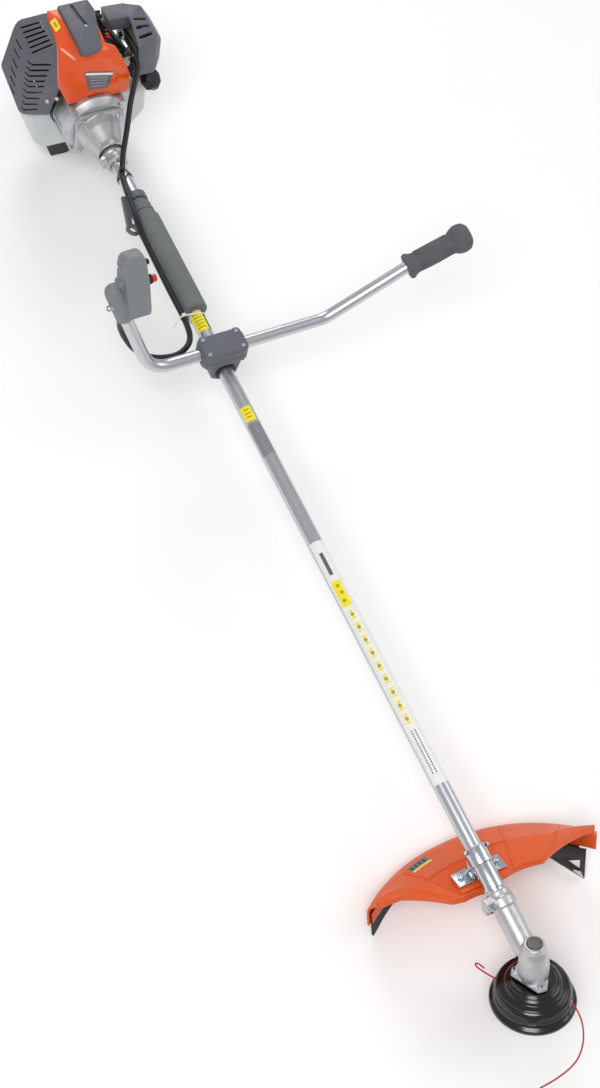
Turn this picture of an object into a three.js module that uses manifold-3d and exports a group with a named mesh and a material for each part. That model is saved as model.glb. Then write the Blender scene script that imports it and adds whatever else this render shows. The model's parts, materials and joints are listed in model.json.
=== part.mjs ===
// Petrol string trimmer with a bike handlebar, lying on its engine foot and on the edge of its guard.
// Millimetres, +Z up. X is lateral, +Y runs along the shaft from the cutting head to the engine.
// The origin is the middle of the flat sole of the engine foot. Pieces are drawn in the frame of the shaft
// axis, whose own zero is at the cylinder axis.
import * as THREE from 'three';
import { mergeVertices } from 'three/addons/utils/BufferGeometryUtils.js';
import { ConvexGeometry } from 'three/addons/geometries/ConvexGeometry.js';
import Module from 'manifold-3d';

const wasm = await Module();
wasm.setup();

// ---------------------------------------------------------------- driving dimensions
const GAP = 0.3;                    // clearance between pieces that touch
const AXIS_Z = 155;                 // shaft and crank axis above the ground
const FOOT_Y = 49;                  // middle of the foot behind the cylinder axis
const FOOT_REACH = 38;              // the foot runs this far before and behind its middle
const TUBE_R = 13;                  // main tube, 26 mm outside
const TUBE_WALL = 1.5;
const TUBE_REAR_Y = -142;           // tube end in the clutch housing
const HEAD_Y = -1672;               // where the shaft axis meets the head axis
const HEAD_TILT = 60;               // degrees between the shaft and the head axis
const TUBE_FRONT_Y = HEAD_Y + 66;
const HANDLE_Y = -610;              // middle of the handlebar clamp
const BAR_Z = 33;                   // handlebar axis above the shaft axis
const BAR_R = 10.5;
const CRANK_THROW = 16;
const BORE_R = 20;
const CLUTCH_FACE_Y = -83;          // joint between clutch housing and fan housing
const FAN_REAR_Y = -32;             // joint between fan housing and crankcase
const CASE_REAR_Y = 28;             // joint between crankcase and starter housing
const COVER_WALL = 2.5;

// ---------------------------------------------------------------- materials
const paint = (color, roughness, metalness) => new THREE.MeshStandardMaterial({ color, roughness, metalness });
const orangePlastic = () => paint(0xd9561e, 0.3, 0);
const greyPlastic = () => paint(0x62656b, 0.45, 0);
const paleGreyPlastic = () => paint(0x82868c, 0.5, 0);
const blackPlastic = () => paint(0x1c1d1f, 0.45, 0);
const charcoalPlastic = () => paint(0x38393b, 0.6, 0);
const blackRubber = () => paint(0x222224, 0.8, 0);
const tankPlastic = () => paint(0xd4d8da, 0.4, 0);
const redPlastic = () => paint(0xc9301c, 0.4, 0);
const castAluminium = () => paint(0xa6a8aa, 0.5, 0.7);
const satinAluminium = () => paint(0xc2c4c6, 0.35, 0.85);
const zincSteel = () => paint(0xb9bcc2, 0.25, 0.9);
const darkSteel = () => paint(0x6c6f73, 0.4, 0.8);
const paperFoam = () => paint(0x4a4438, 0.95, 0);
const trimLine = () => paint(0xc84632, 0.4, 0);

// ---------------------------------------------------------------- shape helpers
const deg = THREE.MathUtils.degToRad;
const v3 = (x, y, z) => new THREE.Vector3(x, y, z);

// Closed, merged, position-only copy of a geometry with its faces pointing out.
function closed(geometry) {
  const bare = geometry.clone();
  bare.deleteAttribute('normal');
  bare.deleteAttribute('uv');
  const merged = mergeVertices(bare, 1e-3);
  const kept = [];
  const index = merged.index.array;
  for (let i = 0; i < index.length; i += 3) {
    const [a, b, c] = [index[i], index[i + 1], index[i + 2]];
    if (a !== b && b !== c && c !== a) kept.push(a, b, c);
  }
  if (signedVolume(merged.attributes.position, kept) < 0) kept.reverse();
  merged.setIndex(kept);
  return merged;
}

function signedVolume(position, index) {
  const [a, b, c] = [v3(0, 0, 0), v3(0, 0, 0), v3(0, 0, 0)];
  let sum = 0;
  for (let i = 0; i < index.length; i += 3) {
    a.fromBufferAttribute(position, index[i]);
    b.fromBufferAttribute(position, index[i + 1]);
    c.fromBufferAttribute(position, index[i + 2]);
    sum += a.dot(b.cross(c));
  }
  return sum;
}

function toSolid(geometry) {
  const body = closed(geometry);
  return new wasm.Manifold(new wasm.Mesh({
    numProp: 3,
    vertProperties: Float32Array.from(body.attributes.position.array),
    triVerts: Uint32Array.from(body.index.array),
  }));
}

function fromSolid(solid) {
  const mesh = solid.getMesh();
  const geometry = new THREE.BufferGeometry();
  geometry.setAttribute('position', new THREE.BufferAttribute(Float32Array.from(mesh.vertProperties), 3));
  geometry.setIndex(Array.from(mesh.triVerts));
  return geometry;
}

function join(...geometries) {
  return fromSolid(geometries.map(toSolid).reduce((whole, next) => whole.add(next)));
}

function cut(base, ...tools) {
  return fromSolid(tools.map(toSolid).reduce((left, tool) => left.subtract(tool), toSolid(base)));
}

function box(x0, x1, y0, y1, z0, z1) {
  const geometry = new THREE.BoxGeometry(x1 - x0, y1 - y0, z1 - z0);
  return geometry.translate((x0 + x1) / 2, (y0 + y1) / 2, (z0 + z1) / 2);
}

// Cylinder from one point to another.
function rod(radius, from, to, sides = 20) {
  const length = from.distanceTo(to);
  const geometry = new THREE.CylinderGeometry(radius, radius, length, sides);
  const turn = new THREE.Quaternion().setFromUnitVectors(v3(0, 1, 0), to.clone().sub(from).normalize());
  geometry.applyQuaternion(turn);
  const middle = from.clone().add(to).multiplyScalar(0.5);
  return geometry.translate(middle.x, middle.y, middle.z);
}

// Solid of revolution about Y from [radius, y] corners; a profile off the axis closes on itself.
function turned(profile, sides = 28) {
  const points = profile.map(([r, y]) => new THREE.Vector2(r, y));
  const onAxis = profile[0][0] === 0 && profile[profile.length - 1][0] === 0;
  if (!onAxis) points.push(points[0].clone());
  return new THREE.LatheGeometry(points, sides);
}

function turnedZ(profile, sides = 28) {
  return turned(profile, sides).rotateX(Math.PI / 2);
}

function ring(outer, inner, y0, y1, sides = 28) {
  return turned([[inner, y0], [outer, y0], [outer, y1], [inner, y1]], sides);
}

function roundedOutline(halfX, halfY, radius) {
  const shape = new THREE.Shape();
  shape.absarc(halfX - radius, halfY - radius, radius, 0, Math.PI / 2);
  shape.absarc(-halfX + radius, halfY - radius, radius, Math.PI / 2, Math.PI);
  shape.absarc(-halfX + radius, -halfY + radius, radius, Math.PI, Math.PI * 1.5);
  shape.absarc(halfX - radius, -halfY + radius, radius, Math.PI * 1.5, Math.PI * 2);
  return shape;
}

// Rounded plate, thickness along Z from z0 to z1.
function plate(halfX, halfY, radius, z0, z1, curveSegments = 4) {
  const geometry = new THREE.ExtrudeGeometry(roundedOutline(halfX, halfY, radius), {
    depth: z1 - z0, bevelEnabled: false, curveSegments,
  });
  return geometry.translate(0, 0, z0);
}

// Rounded plate, thickness along Y from y0 to y1.
function plateY(halfX, halfZ, radius, y0, y1, curveSegments = 4) {
  return plate(halfX, halfZ, radius, 0, y1 - y0, curveSegments).rotateX(Math.PI / 2).translate(0, y1, 0);
}

// Outline in the XZ plane, extruded along Y from y0 to y1.
function profileY(corners, y0, y1) {
  const shape = new THREE.Shape(corners.map(([x, z]) => new THREE.Vector2(x, z)));
  const geometry = new THREE.ExtrudeGeometry(shape, { depth: y1 - y0, bevelEnabled: false });
  return geometry.rotateX(Math.PI / 2).translate(0, y1, 0);
}

function hull(points) {
  return new ConvexGeometry(points.map(([x, y, z]) => v3(x, y, z)));
}

// The same corners drawn in towards their middle by a wall thickness; negative grows them.
function inset(points, wall) {
  const middle = [0, 1, 2].map((i) => {
    const values = points.map((p) => p[i]);
    return (Math.max(...values) + Math.min(...values)) / 2;
  });
  return points.map((p) => p.map((value, i) => value - Math.sign(value - middle[i]) * wall));
}

// Hollow hull with an even wall, open on one side: side is the unit direction that its mouth faces.
function hollowHull(points, wall, side, mouthDepth) {
  const along = (p) => p.reduce((sum, value, i) => sum + value * side[i], 0);
  const edge = Math.max(...points.map(along));
  const inner = inset(points, wall).map((p, k) => {
    const onMouth = along(points[k]) > edge - mouthDepth;
    return onMouth ? p.map((value, i) => value + side[i] * wall * 3) : p;
  });
  return cut(hull(points), hull(inner));
}

function circleShape(radius, sides) {
  const shape = new THREE.Shape();
  for (let i = 0; i < sides; i += 1) {
    const angle = (i / sides) * Math.PI * 2;
    const [x, y] = [radius * Math.cos(angle), radius * Math.sin(angle)];
    if (i === 0) shape.moveTo(x, y);
    else shape.lineTo(x, y);
  }
  shape.closePath();
  return shape;
}

function swept(curve, radius, sides, steps) {
  return new THREE.ExtrudeGeometry(circleShape(radius, sides), {
    steps, extrudePath: curve, bevelEnabled: false, curveSegments: 1,
  });
}

// Path of straight runs through the corners, with a round bend of the given radius at each inner corner.
function bentPath(corners, bendRadius) {
  const path = new THREE.CurvePath();
  let from = corners[0];
  for (let i = 1; i < corners.length - 1; i += 1) {
    const back = corners[i - 1].clone().sub(corners[i]).normalize();
    const ahead = corners[i + 1].clone().sub(corners[i]).normalize();
    const half = back.angleTo(ahead) / 2;
    const trim = bendRadius / Math.tan(half);
    const enter = corners[i].clone().addScaledVector(back, trim);
    const leave = corners[i].clone().addScaledVector(ahead, trim);
    const centre = corners[i].clone().addScaledVector(
      back.clone().add(ahead).normalize(), bendRadius / Math.sin(half));
    path.add(new THREE.LineCurve3(from, enter));
    const arc = [0, 1, 2, 3, 4, 5, 6].map((k) => {
      const spoke = enter.clone().sub(centre).lerp(leave.clone().sub(centre), k / 6);
      return centre.clone().addScaledVector(spoke.normalize(), bendRadius);
    });
    path.add(new THREE.CatmullRomCurve3(arc));
    from = leave;
  }
  path.add(new THREE.LineCurve3(from, corners[corners.length - 1]));
  return path;
}

// Thick curved sheet from a grid of outer points and the matching grid of inner points.
function thickSheet(outer, inner) {
  const rows = outer.length;
  const columns = outer[0].length;
  const points = [...outer.flat(), ...inner.flat()];
  const at = (side, i, j) => side * rows * columns + i * columns + j;
  const index = [];
  const quad = (a, b, c, d) => index.push(a, b, c, a, c, d);
  for (let i = 0; i < rows - 1; i += 1) {
    for (let j = 0; j < columns - 1; j += 1) {
      quad(at(0, i, j), at(0, i, j + 1), at(0, i + 1, j + 1), at(0, i + 1, j));
      quad(at(1, i, j), at(1, i + 1, j), at(1, i + 1, j + 1), at(1, i, j + 1));
    }
    quad(at(0, i, 0), at(0, i + 1, 0), at(1, i + 1, 0), at(1, i, 0));
    quad(at(0, i + 1, columns - 1), at(0, i, columns - 1), at(1, i, columns - 1), at(1, i + 1, columns - 1));
  }
  for (let j = 0; j < columns - 1; j += 1) {
    quad(at(0, 0, j + 1), at(0, 0, j), at(1, 0, j), at(1, 0, j + 1));
    quad(at(0, rows - 1, j), at(0, rows - 1, j + 1), at(1, rows - 1, j + 1), at(1, rows - 1, j));
  }
  const geometry = new THREE.BufferGeometry();
  const values = points.flatMap((p) => [p.x, p.y, p.z]);
  geometry.setAttribute('position', new THREE.Float32BufferAttribute(values, 3));
  geometry.setIndex(index);
  return geometry;
}

const trimmer = new THREE.Group();
const shaft = new THREE.Group();          // everything whose frame is the shaft axis
shaft.position.set(0, -FOOT_Y, AXIS_Z);
trimmer.add(shaft);

function add(group, name, geometry, material) {
  const mesh = new THREE.Mesh(closed(geometry), material);
  mesh.name = name;
  group.add(mesh);
  return mesh;
}

// ---------------------------------------------------------------- engine: crank train
const CLUTCH_CAVITY_R = 37;
const DRUM_R = 33;
const FAN_OUTER_R = 64;
const FLYWHEEL_R = 54;
const WEB_R = 31;
const CRANK_CAVITY_R = 34;
const JOURNAL_R = 8;
const CYLINDER_FOOT_Z = 46;
const CYLINDER_TOP_Z = 118;

// Cone with a square bolted flange at the engine and a slotted clamp collar around the main tube.
function clutchHousing() {
  const bore = TUBE_R + GAP;
  const cone = turned([
    [bore, -172], [17.5, -172], [17.5, -156], [20, -152], [20, -138], [23.5, -138], [23.5, -147], [26.5, -147],
    [27, -136], [31, -126], [39, -107], [43, CLUTCH_FACE_Y],
    [CLUTCH_CAVITY_R, CLUTCH_FACE_Y], [35, -108.5], [14, -131], [11.5, -136], [11.5, -141.6], [bore, -141.6],
  ], 24);
  const flange = cut(
    plateY(46, 43, 9, CLUTCH_FACE_Y - 8, CLUTCH_FACE_Y, 2),
    rod(CLUTCH_CAVITY_R + 1, v3(0, -120, 0), v3(0, -60, 0), 24));
  const ear = cut(box(-27, -10, -168, -150, -5, 5), rod(bore + 1, v3(0, -180, 0), v3(0, -130, 0), 24));
  const slot = box(-30, 0, -173, -146, -0.8, 0.8);
  return cut(join(cone, flange, ear), slot);
}

// Ring around the flywheel, with the clutch opening in front and a window for the ignition coil.
function fanHousing() {
  const front = CLUTCH_FACE_Y + GAP;
  const shell = turned([
    [CLUTCH_CAVITY_R, front], [54, front], [FAN_OUTER_R, front + 10], [FAN_OUTER_R, FAN_REAR_Y],
    [FAN_OUTER_R - 5, FAN_REAR_Y], [FAN_OUTER_R - 5, front + 11], [50, front + 5], [CLUTCH_CAVITY_R, front + 5],
  ], 28);
  return cut(shell, box(-15, 15, -63, -41, 40, 80));
}

function crankcase() {
  const front = FAN_REAR_Y + GAP;
  const barrel = rod(44, v3(0, front, 0), v3(0, CASE_REAR_Y, 0), 28);
  const deck = plate(36, 29, 8, 20, CYLINDER_FOOT_Z - GAP, 2);
  const flange = rod(FAN_OUTER_R, v3(0, front, 0), v3(0, front + 4, 0), 28);
  const chamber = rod(CRANK_CAVITY_R, v3(0, -22, 0), v3(0, 20, 0), 28);
  const journals = rod(JOURNAL_R + GAP, v3(0, front - 10, 0), v3(0, CASE_REAR_Y + 10, 0));
  const mouth = rod(BORE_R + 3.3, v3(0, 0, 10), v3(0, 0, 60), 24);
  return cut(join(barrel, deck, flange), chamber, journals, mouth);
}

// Finned cylinder with its bore open to the crankcase.
function cylinder() {
  const core = rod(27, v3(0, 0, CYLINDER_FOOT_Z), v3(0, 0, CYLINDER_TOP_Z), 24);
  const foot = box(-35, 35, -26, 26, CYLINDER_FOOT_Z, CYLINDER_FOOT_Z + 6);
  const fins = [0, 1, 2, 3, 4].map((i) => box(-38, 38, -32, 30, 68 + i * 10, 70.5 + i * 10));
  const exhaust = box(-47, -20, -15, 15, 72, 96);
  const intake = box(20, 45, -14, 14, 70, 94);
  const bore = rod(BORE_R + GAP, v3(0, 0, 30), v3(0, 0, 114), 24);
  const plugHole = rod(5.3, v3(0, 0, 110), v3(0, 0, 130), 12);
  return cut(join(core, foot, ...fins, exhaust, intake), bore, plugHole);
}

function crankshaft() {
  const main = rod(JOURNAL_R, v3(0, -104, 0), v3(0, -6, 0), 20);
  const rear = rod(JOURNAL_R, v3(0, 6, 0), v3(0, 58, 0), 20);
  const webs = [[-20, -6], [6, 18]].map(([y0, y1]) => rod(WEB_R, v3(0, y0, 0), v3(0, y1, 0), 28));
  const pin = rod(7, v3(0, -8, CRANK_THROW), v3(0, 8, CRANK_THROW), 16);
  return join(main, rear, ...webs, pin);
}

function piston() {
  const skirt = rod(BORE_R, v3(0, 0, 76), v3(0, 0, 112), 28);
  const hollow = rod(BORE_R - 3, v3(0, 0, 70), v3(0, 0, 107), 20);
  const gudgeon = rod(5, v3(0, -BORE_R + 1, 92), v3(0, BORE_R - 1, 92), 12);
  return join(cut(skirt, hollow), gudgeon);
}

function flywheel() {
  const disc = turned([
    [JOURNAL_R + GAP, -72], [15, -72], [15, -46], [FLYWHEEL_R, -46], [FLYWHEEL_R, -37], [JOURNAL_R + GAP, -37],
  ], 24);
  const vanes = Array.from({ length: 10 }, (_, i) => box(24, FLYWHEEL_R - 1, -64, -45, -1.2, 1.2)
    .rotateY((i / 10) * Math.PI * 2));
  return join(disc, ...vanes);
}

// Two centrifugal shoes on their carrier, drawn together as one slotted block.
function clutchShoes() {
  const block = ring(28.5, JOURNAL_R + GAP, -103, -91, 24);
  const slots = [1, -1].map((side) => box(side * 21 - 9, side * 21 + 9, -104, -90, -1.5, 1.5));
  return cut(block, ...slots.map((slot) => slot.rotateY(deg(35))));
}

function clutchDrum() {
  return turned([
    [0, -136], [6, -136], [6, -114], [26, -110], [DRUM_R, -106], [DRUM_R, -89], [DRUM_R - 2.5, -89],
    [DRUM_R - 2.5, -105], [0, -108],
  ], 24);
}

// ---------------------------------------------------------------- engine: recoil starter
const ROPE_X = 30;
const ROPE_Y = 66;
const PULLEY_R = 30;

function starterHousing() {
  const front = CASE_REAR_Y + GAP;
  const shell = turned([
    [0, 90], [52, 90], [FAN_OUTER_R, 78], [FAN_OUTER_R, front], [FAN_OUTER_R - 3, front], [FAN_OUTER_R - 3, 77],
    [50, 86], [7, 86], [7, 61], [0, 61],
  ], 28);
  const ropeHole = rod(3, v3(ROPE_X, ROPE_Y, 40), v3(ROPE_X, ROPE_Y, 80), 12);
  const vents = [0, 1, 2, 3, 4].map((i) => box(-34, 34, 80, 95, -33 + i * 15, -28 + i * 15));
  const hub = rod(12, v3(0, 80, 0), v3(0, 90, 0), 20);
  return join(cut(shell, ropeHole, ...vents), hub);
}

function starterPulley() {
  return turned([
    [7.5, 60], [PULLEY_R, 60], [PULLEY_R, 62.5], [22, 63.5], [22, 69.5], [PULLEY_R, 70.5], [PULLEY_R, 73], [7.5, 73],
  ], 28);
}

function starterHandle() {
  const grip = plate(19, 7, 6, 70, 84, 3);
  const neck = turnedZ([[0, 65], [5, 65], [7, 71], [0, 71]], 16);
  return join(grip, neck);
}

function starterRope() {
  return rod(1.5, v3(ROPE_X, ROPE_Y, 2), v3(ROPE_X, ROPE_Y, 64.5), 8);
}

// ---------------------------------------------------------------- engine: ignition, exhaust and covers
function ignitionCoil() {
  return join(box(-14, 14, -55, -38, 65, 84), box(-12, -5, -53, -44, 55.5, 66), box(5, 12, -53, -44, 55.5, 66));
}

function sparkPlug() {
  return turnedZ([
    [0, 114.5], [5, 114.5], [5, CYLINDER_TOP_Z + GAP], [8, CYLINDER_TOP_Z + GAP], [8, 125], [5, 126], [4, 137],
    [0, 137],
  ], 12);
}

function plugBoot() {
  const sleeve = turnedZ([[5.8, 128], [8.5, 128], [8.5, 139], [5.8, 139]], 16);
  const cap = rod(8.5, v3(0, 0, 138), v3(0, 0, 142), 16);
  const lead = rod(3.5, v3(0, -5, 138), v3(0, -24, 134), 10);
  return join(sleeve, cap, lead);
}

function muffler() {
  const can = hull([
    [-62, -12, 46], [-62, 33, 46], [-62, -12, 110], [-62, 33, 110], [-88, 4, 52], [-88, 38, 52],
    [-84, 6, 100], [-84, 38, 100],
  ]);
  return join(can, box(-63, -47.3, -12, 12, 74, 94));
}

const COVER_CORNERS = [
  [-51, -66, 54], [62, -66, 54], [-66, -60, 92], [66, -58, 91], [-31, -49, 134], [15, -51, 134], [48, -39, 130],
  [-53, -22, 147], [20, -42, 146], [-50, 48, 162], [27, 48, 160], [-62, 38, 54], [60, 38, 54], [-62, 38, 96],
  [50, 38, 96], [-54, 48, 120], [40, 48, 120],
];
const barrelRoom = () => rod(FAN_OUTER_R + 0.5, v3(0, -90, 0), v3(0, 95, 0), 28);
const coverRoom = () => hull(inset(COVER_CORNERS, -0.5));

// Shell over the cylinder, open below, with a window for the exhaust; the carburettor side is left open.
function engineCover() {
  const shell = hollowHull(COVER_CORNERS, COVER_WALL, [0, 0, -1], 2);
  return cut(shell, box(-90, -40, -22, 34, 40, 114), box(27, 80, -31, 70, 30, 175), barrelRoom());
}

const MUFFLER_GUARD_CORNERS = [
  [-61, -57, 92], [-48, -24, 145], [-46, 46, 160], [-100, 60, 142], [-132, 50, 60], [-118, -8, -8],
  [-70, -26, -5], [-108, 64, -6], [-68, 70, -6], [-58, 70, 60], [-56, 66, 132],
];

// Shell around the muffler, open towards the cylinder, with cooling slots through its side.
function mufflerGuard() {
  const shell = hollowHull(MUFFLER_GUARD_CORNERS, 3, [1, 0, 0], 26);
  const slots = [0, 1, 2, 3].map((i) => box(-150, -80, 16, 40, 24 + i * 17, 29 + i * 17));
  return cut(shell, coverRoom(), barrelRoom(), ...slots);
}

const SPINE_CORNERS = [
  [-24, -44, 157], [-12, -56, 151], [16, -45, 150], [-29, 46, 169], [24, 46, 171], [32, 30, 160], [27, 50, 160],
  [-30, 50, 160], [-30, 50, 140], [27, 50, 140], [32, 30, 146], [-24, -42, 135], [15, -42, 135], [-12, -48, 136],
];

// Grey spine that caps the orange cover from its front face to the rear.
function topCover() {
  return cut(hull(SPINE_CORNERS), coverRoom());
}

// ---------------------------------------------------------------- engine: intake
const FILTER_CORNERS = [
  [92, -34, 50], [92, 56, 46], [92, -30, 112], [92, 18, 138], [92, 56, 138], [126, -33, 50], [126, 50, 47],
  [143, -12, 60], [143, 44, 54], [144, -10, 104], [144, 42, 104], [128, -22, 124], [124, 44, 136],
];
const FILTER_STEP_CORNERS = [
  [56, 22, 112], [56, 56, 112], [54, 24, 137], [54, 56, 139], [98, 20, 112], [98, 56, 112], [98, 22, 137],
  [98, 56, 137],
];

function intakeInsulator() {
  return cut(box(45.3, 62, -17, 17, 66, 98), rod(8, v3(40, 0, 82), v3(70, 0, 82), 16));
}

function carburetor() {
  const block = box(62.3, 84, -18, 18, 62, 100);
  const venturi = rod(8, v3(55, 0, 82), v3(95, 0, 82), 16);
  const primerSeat = rod(9, v3(73, -20, 78), v3(73, -13, 78), 16);
  const bracket = box(66, 84, -30, -17, 96, 99.5);
  return cut(join(block, bracket), venturi, primerSeat);
}

function carbThrottleLever() {
  const post = rod(3.5, v3(73, 0, 100.3), v3(73, 0, 108), 12);
  const arm = hull([
    [68, 3, 104], [78, 3, 104], [70, -24, 104], [76, -24, 104], [68, 3, 107], [78, 3, 107], [70, -24, 107],
    [76, -24, 107],
  ]);
  return join(post, arm);
}

function chokeLever() {
  const post = rod(3.5, v3(79, 18.3, 84), v3(79, 24, 84), 12);
  const arm = box(76, 82, 21, 24, 82, 104);
  return join(post, arm);
}

function primerBulb() {
  return turned([[0, -29], [4, -28], [7.5, -24], [8.5, -18.3], [0, -18.3]], 16).translate(73, 0, 78);
}

function filterBase() {
  return cut(box(84.3, 91.7, -28, 50, 40, 109), rod(9, v3(80, 0, 82), v3(95, 0, 82), 16));
}

function filterElement() {
  return cut(box(92.3, 114, -18, 40, 54, 104), box(91, 108, -10, 32, 62, 96));
}

// Cover over the filter element, with a step at the top that reaches over the carburettor.
function filterCover() {
  const shell = hollowHull(FILTER_CORNERS, 3, [-1, 0, 0], 2);
  const step = cut(hull(FILTER_STEP_CORNERS), hull(inset(FILTER_STEP_CORNERS, 3)).translate(8, 0, -8));
  const slots = [0, 1, 2].map((i) => box(100, 122, -18 + i * 15, -12 + i * 15, 106, 160));
  return cut(join(shell, step), coverRoom(), ...slots);
}

// ---------------------------------------------------------------- engine: fuel tank and foot
const TANK_CORNERS = [
  [-105, -17, -11], [-66, -17, -11], [-105, 68, -11], [-66, 68, -11], [-94, -17, -80], [-78, -17, -98],
  [-94, 68, -80], [-78, 68, -98], [92, -17, -98], [92, 68, -98], [122, -17, -56], [122, 68, -56],
  [122, -17, 0], [122, 68, 0], [70, -17, 6], [70, 68, 6],
];
const TANK_WALL = 2.4;
const TANK_SOLE_Z = -98;
const SADDLE_R = 67;
const NECK_AXIS = v3(0.55, -0.45, 0.7).normalize();
const NECK_FOOT = v3(101, 0, -8);
const neckAt = (distance) => NECK_FOOT.clone().addScaledVector(NECK_AXIS, distance);

// Hollow tank that saddles the crankcase, with a slanted filler neck open at its top.
function fuelTank() {
  const saddle = (grow) => rod(SADDLE_R + grow, v3(0, -40, 0), v3(0, 90, 0), 28);
  const saddleTop = (grow) => box(-SADDLE_R - grow, SADDLE_R + grow, -40, 90, 0, 40);
  const inner = cut(hull(inset(TANK_CORNERS, TANK_WALL)), saddle(TANK_WALL), saddleTop(TANK_WALL));
  const outer = cut(hull(TANK_CORNERS), saddle(0), saddleTop(0));
  const neck = rod(15, neckAt(0), neckAt(34), 20);
  return cut(join(outer, neck), inner, rod(12, neckAt(6), neckAt(50), 20));
}

function fuelCap() {
  const skirt = rod(21, neckAt(34.5), neckAt(54), 10);
  const plug = rod(11, neckAt(27), neckAt(36), 16);
  return join(skirt, plug);
}

// Splayed foot under the tank, hollow and open behind. Its front wall is closed, with a shallow notch under it.
function tankFoot() {
  const ground = -AXIS_Z;
  const top = TANK_SOLE_Z - GAP;
  const front = FOOT_Y - FOOT_REACH;
  const section = [[-51, ground], [51, ground], [31, top], [-31, top]];
  const outer = profileY(section, front, FOOT_Y + FOOT_REACH);
  const hollow = profileY([[-40, ground + 7], [40, ground + 7], [23, top - 6], [-23, top - 6]], front + 5, 140);
  const notch = profileY([[-23, ground - 1], [23, ground - 1], [4, ground + 13], [-4, ground + 13]], 0, front + 12);
  return cut(outer, hollow, notch);
}

function addEngine() {
  add(shaft, 'clutch_housing', clutchHousing(), castAluminium());
  add(shaft, 'fan_housing', fanHousing(), castAluminium());
  add(shaft, 'crankcase', crankcase(), castAluminium());
  add(shaft, 'cylinder', cylinder(), castAluminium());
  add(shaft, 'crankshaft', crankshaft(), darkSteel());
  add(shaft, 'piston', piston(), satinAluminium());
  add(shaft, 'flywheel', flywheel(), castAluminium());
  add(shaft, 'clutch_shoes', clutchShoes(), darkSteel());
  add(shaft, 'clutch_drum', clutchDrum(), zincSteel());
  add(shaft, 'starter_housing', starterHousing(), greyPlastic());
  add(shaft, 'starter_pulley', starterPulley(), blackPlastic());
  add(shaft, 'starter_rope', starterRope(), paint(0xd8d8d0, 0.9, 0));
  const handle = add(shaft, 'starter_handle', starterHandle(), blackPlastic());
  handle.position.set(ROPE_X, ROPE_Y, 0);
  add(shaft, 'ignition_coil', ignitionCoil(), blackPlastic());
  add(shaft, 'spark_plug', sparkPlug(), zincSteel());
  add(shaft, 'plug_boot', plugBoot(), blackRubber());
  add(shaft, 'muffler', muffler(), darkSteel());
  add(shaft, 'muffler_guard', mufflerGuard(), greyPlastic());
  add(shaft, 'engine_cover', engineCover(), orangePlastic());
  add(shaft, 'top_cover', topCover(), greyPlastic());
  add(shaft, 'intake_insulator', intakeInsulator(), blackPlastic());
  add(shaft, 'carburetor', carburetor(), castAluminium());
  add(shaft, 'carb_throttle_lever', carbThrottleLever(), zincSteel());
  add(shaft, 'choke_lever', chokeLever(), blackPlastic());
  add(shaft, 'primer_bulb', primerBulb(), paint(0xd9d4c4, 0.35, 0));
  add(shaft, 'filter_base', filterBase(), blackPlastic());
  add(shaft, 'filter_element', filterElement(), paperFoam());
  add(shaft, 'filter_cover', filterCover(), greyPlastic());
  add(shaft, 'fuel_tank', fuelTank(), tankPlastic());
  add(shaft, 'fuel_cap', fuelCap(), blackPlastic());
  add(shaft, 'tank_foot', tankFoot(), charcoalPlastic());
}
addEngine();

// ---------------------------------------------------------------- shaft: tube, drive shaft, sleeve and harness ring
const DRIVE_R = 4;
const SLEEVE_R = 23.5;
const SLEEVE_FRONT_Y = -508;
const SLEEVE_REAR_Y = -290;

function mainTube() {
  return ring(TUBE_R, TUBE_R - TUBE_WALL, TUBE_FRONT_Y, TUBE_REAR_Y, 32);
}

// Solid spring-steel shaft with a square-cut boss that enters the clutch drum.
function driveShaft() {
  return rod(DRIVE_R, v3(0, HEAD_Y + 44, 0), v3(0, -136.5, 0), 12);
}

function shaftBush(y) {
  return ring(TUBE_R - TUBE_WALL - GAP, DRIVE_R + GAP, y - 12, y + 12, 20);
}
const BUSH_Y = (HEAD_Y + TUBE_REAR_Y) / 2;

function hipSleeve() {
  const inner = TUBE_R + GAP;
  return turned([
    [inner, SLEEVE_FRONT_Y], [SLEEVE_R - 2, SLEEVE_FRONT_Y], [SLEEVE_R, SLEEVE_FRONT_Y + 3],
    [SLEEVE_R, SLEEVE_REAR_Y - 10], [SLEEVE_R - 3, SLEEVE_REAR_Y], [inner, SLEEVE_REAR_Y],
  ], 28);
}

// Clamp band with an arm that carries the eye for the harness hook, turned up to the left of the shaft.
const EYE_REACH = 37;
const EYE_Y = -323;
function harnessRing() {
  const band = rod(20, v3(0, -262, 0), v3(0, -248, 0), 20);
  const arm = hull([[-14, -248], [-27, -248], [-14, -262], [-EYE_REACH - 9, EYE_Y + 6], [-EYE_REACH + 2, EYE_Y + 10]]
    .flatMap(([x, y]) => [[x, y, -3], [x, y, 3]]));
  const eye = rod(12.5, v3(-EYE_REACH, EYE_Y, -3), v3(-EYE_REACH, EYE_Y, 3), 20);
  const hole = rod(6.5, v3(-EYE_REACH, EYE_Y, -10), v3(-EYE_REACH, EYE_Y, 10), 16);
  const bore = rod(TUBE_R + GAP, v3(0, -300, 0), v3(0, -230, 0), 24);
  return cut(join(band, arm, eye), bore, hole).rotateY(deg(19));
}

function addShaft() {
  add(shaft, 'main_tube', mainTube(), satinAluminium());
  add(shaft, 'drive_shaft', driveShaft(), darkSteel());
  add(shaft, 'shaft_bush', shaftBush(BUSH_Y), blackRubber());
  add(shaft, 'hip_sleeve', hipSleeve(), greyPlastic());
  add(shaft, 'harness_ring', harnessRing(), greyPlastic());
}
addShaft();

// ---------------------------------------------------------------- handlebar
const handlebar = new THREE.Group();      // origin on the bar axis, above the shaft
handlebar.position.set(0, HANDLE_Y, BAR_Z);
shaft.add(handlebar);

const CLAMP_HALF_X = 41;
const CLAMP_HALF_Y = 24;
const BEND_R = 50;

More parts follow.
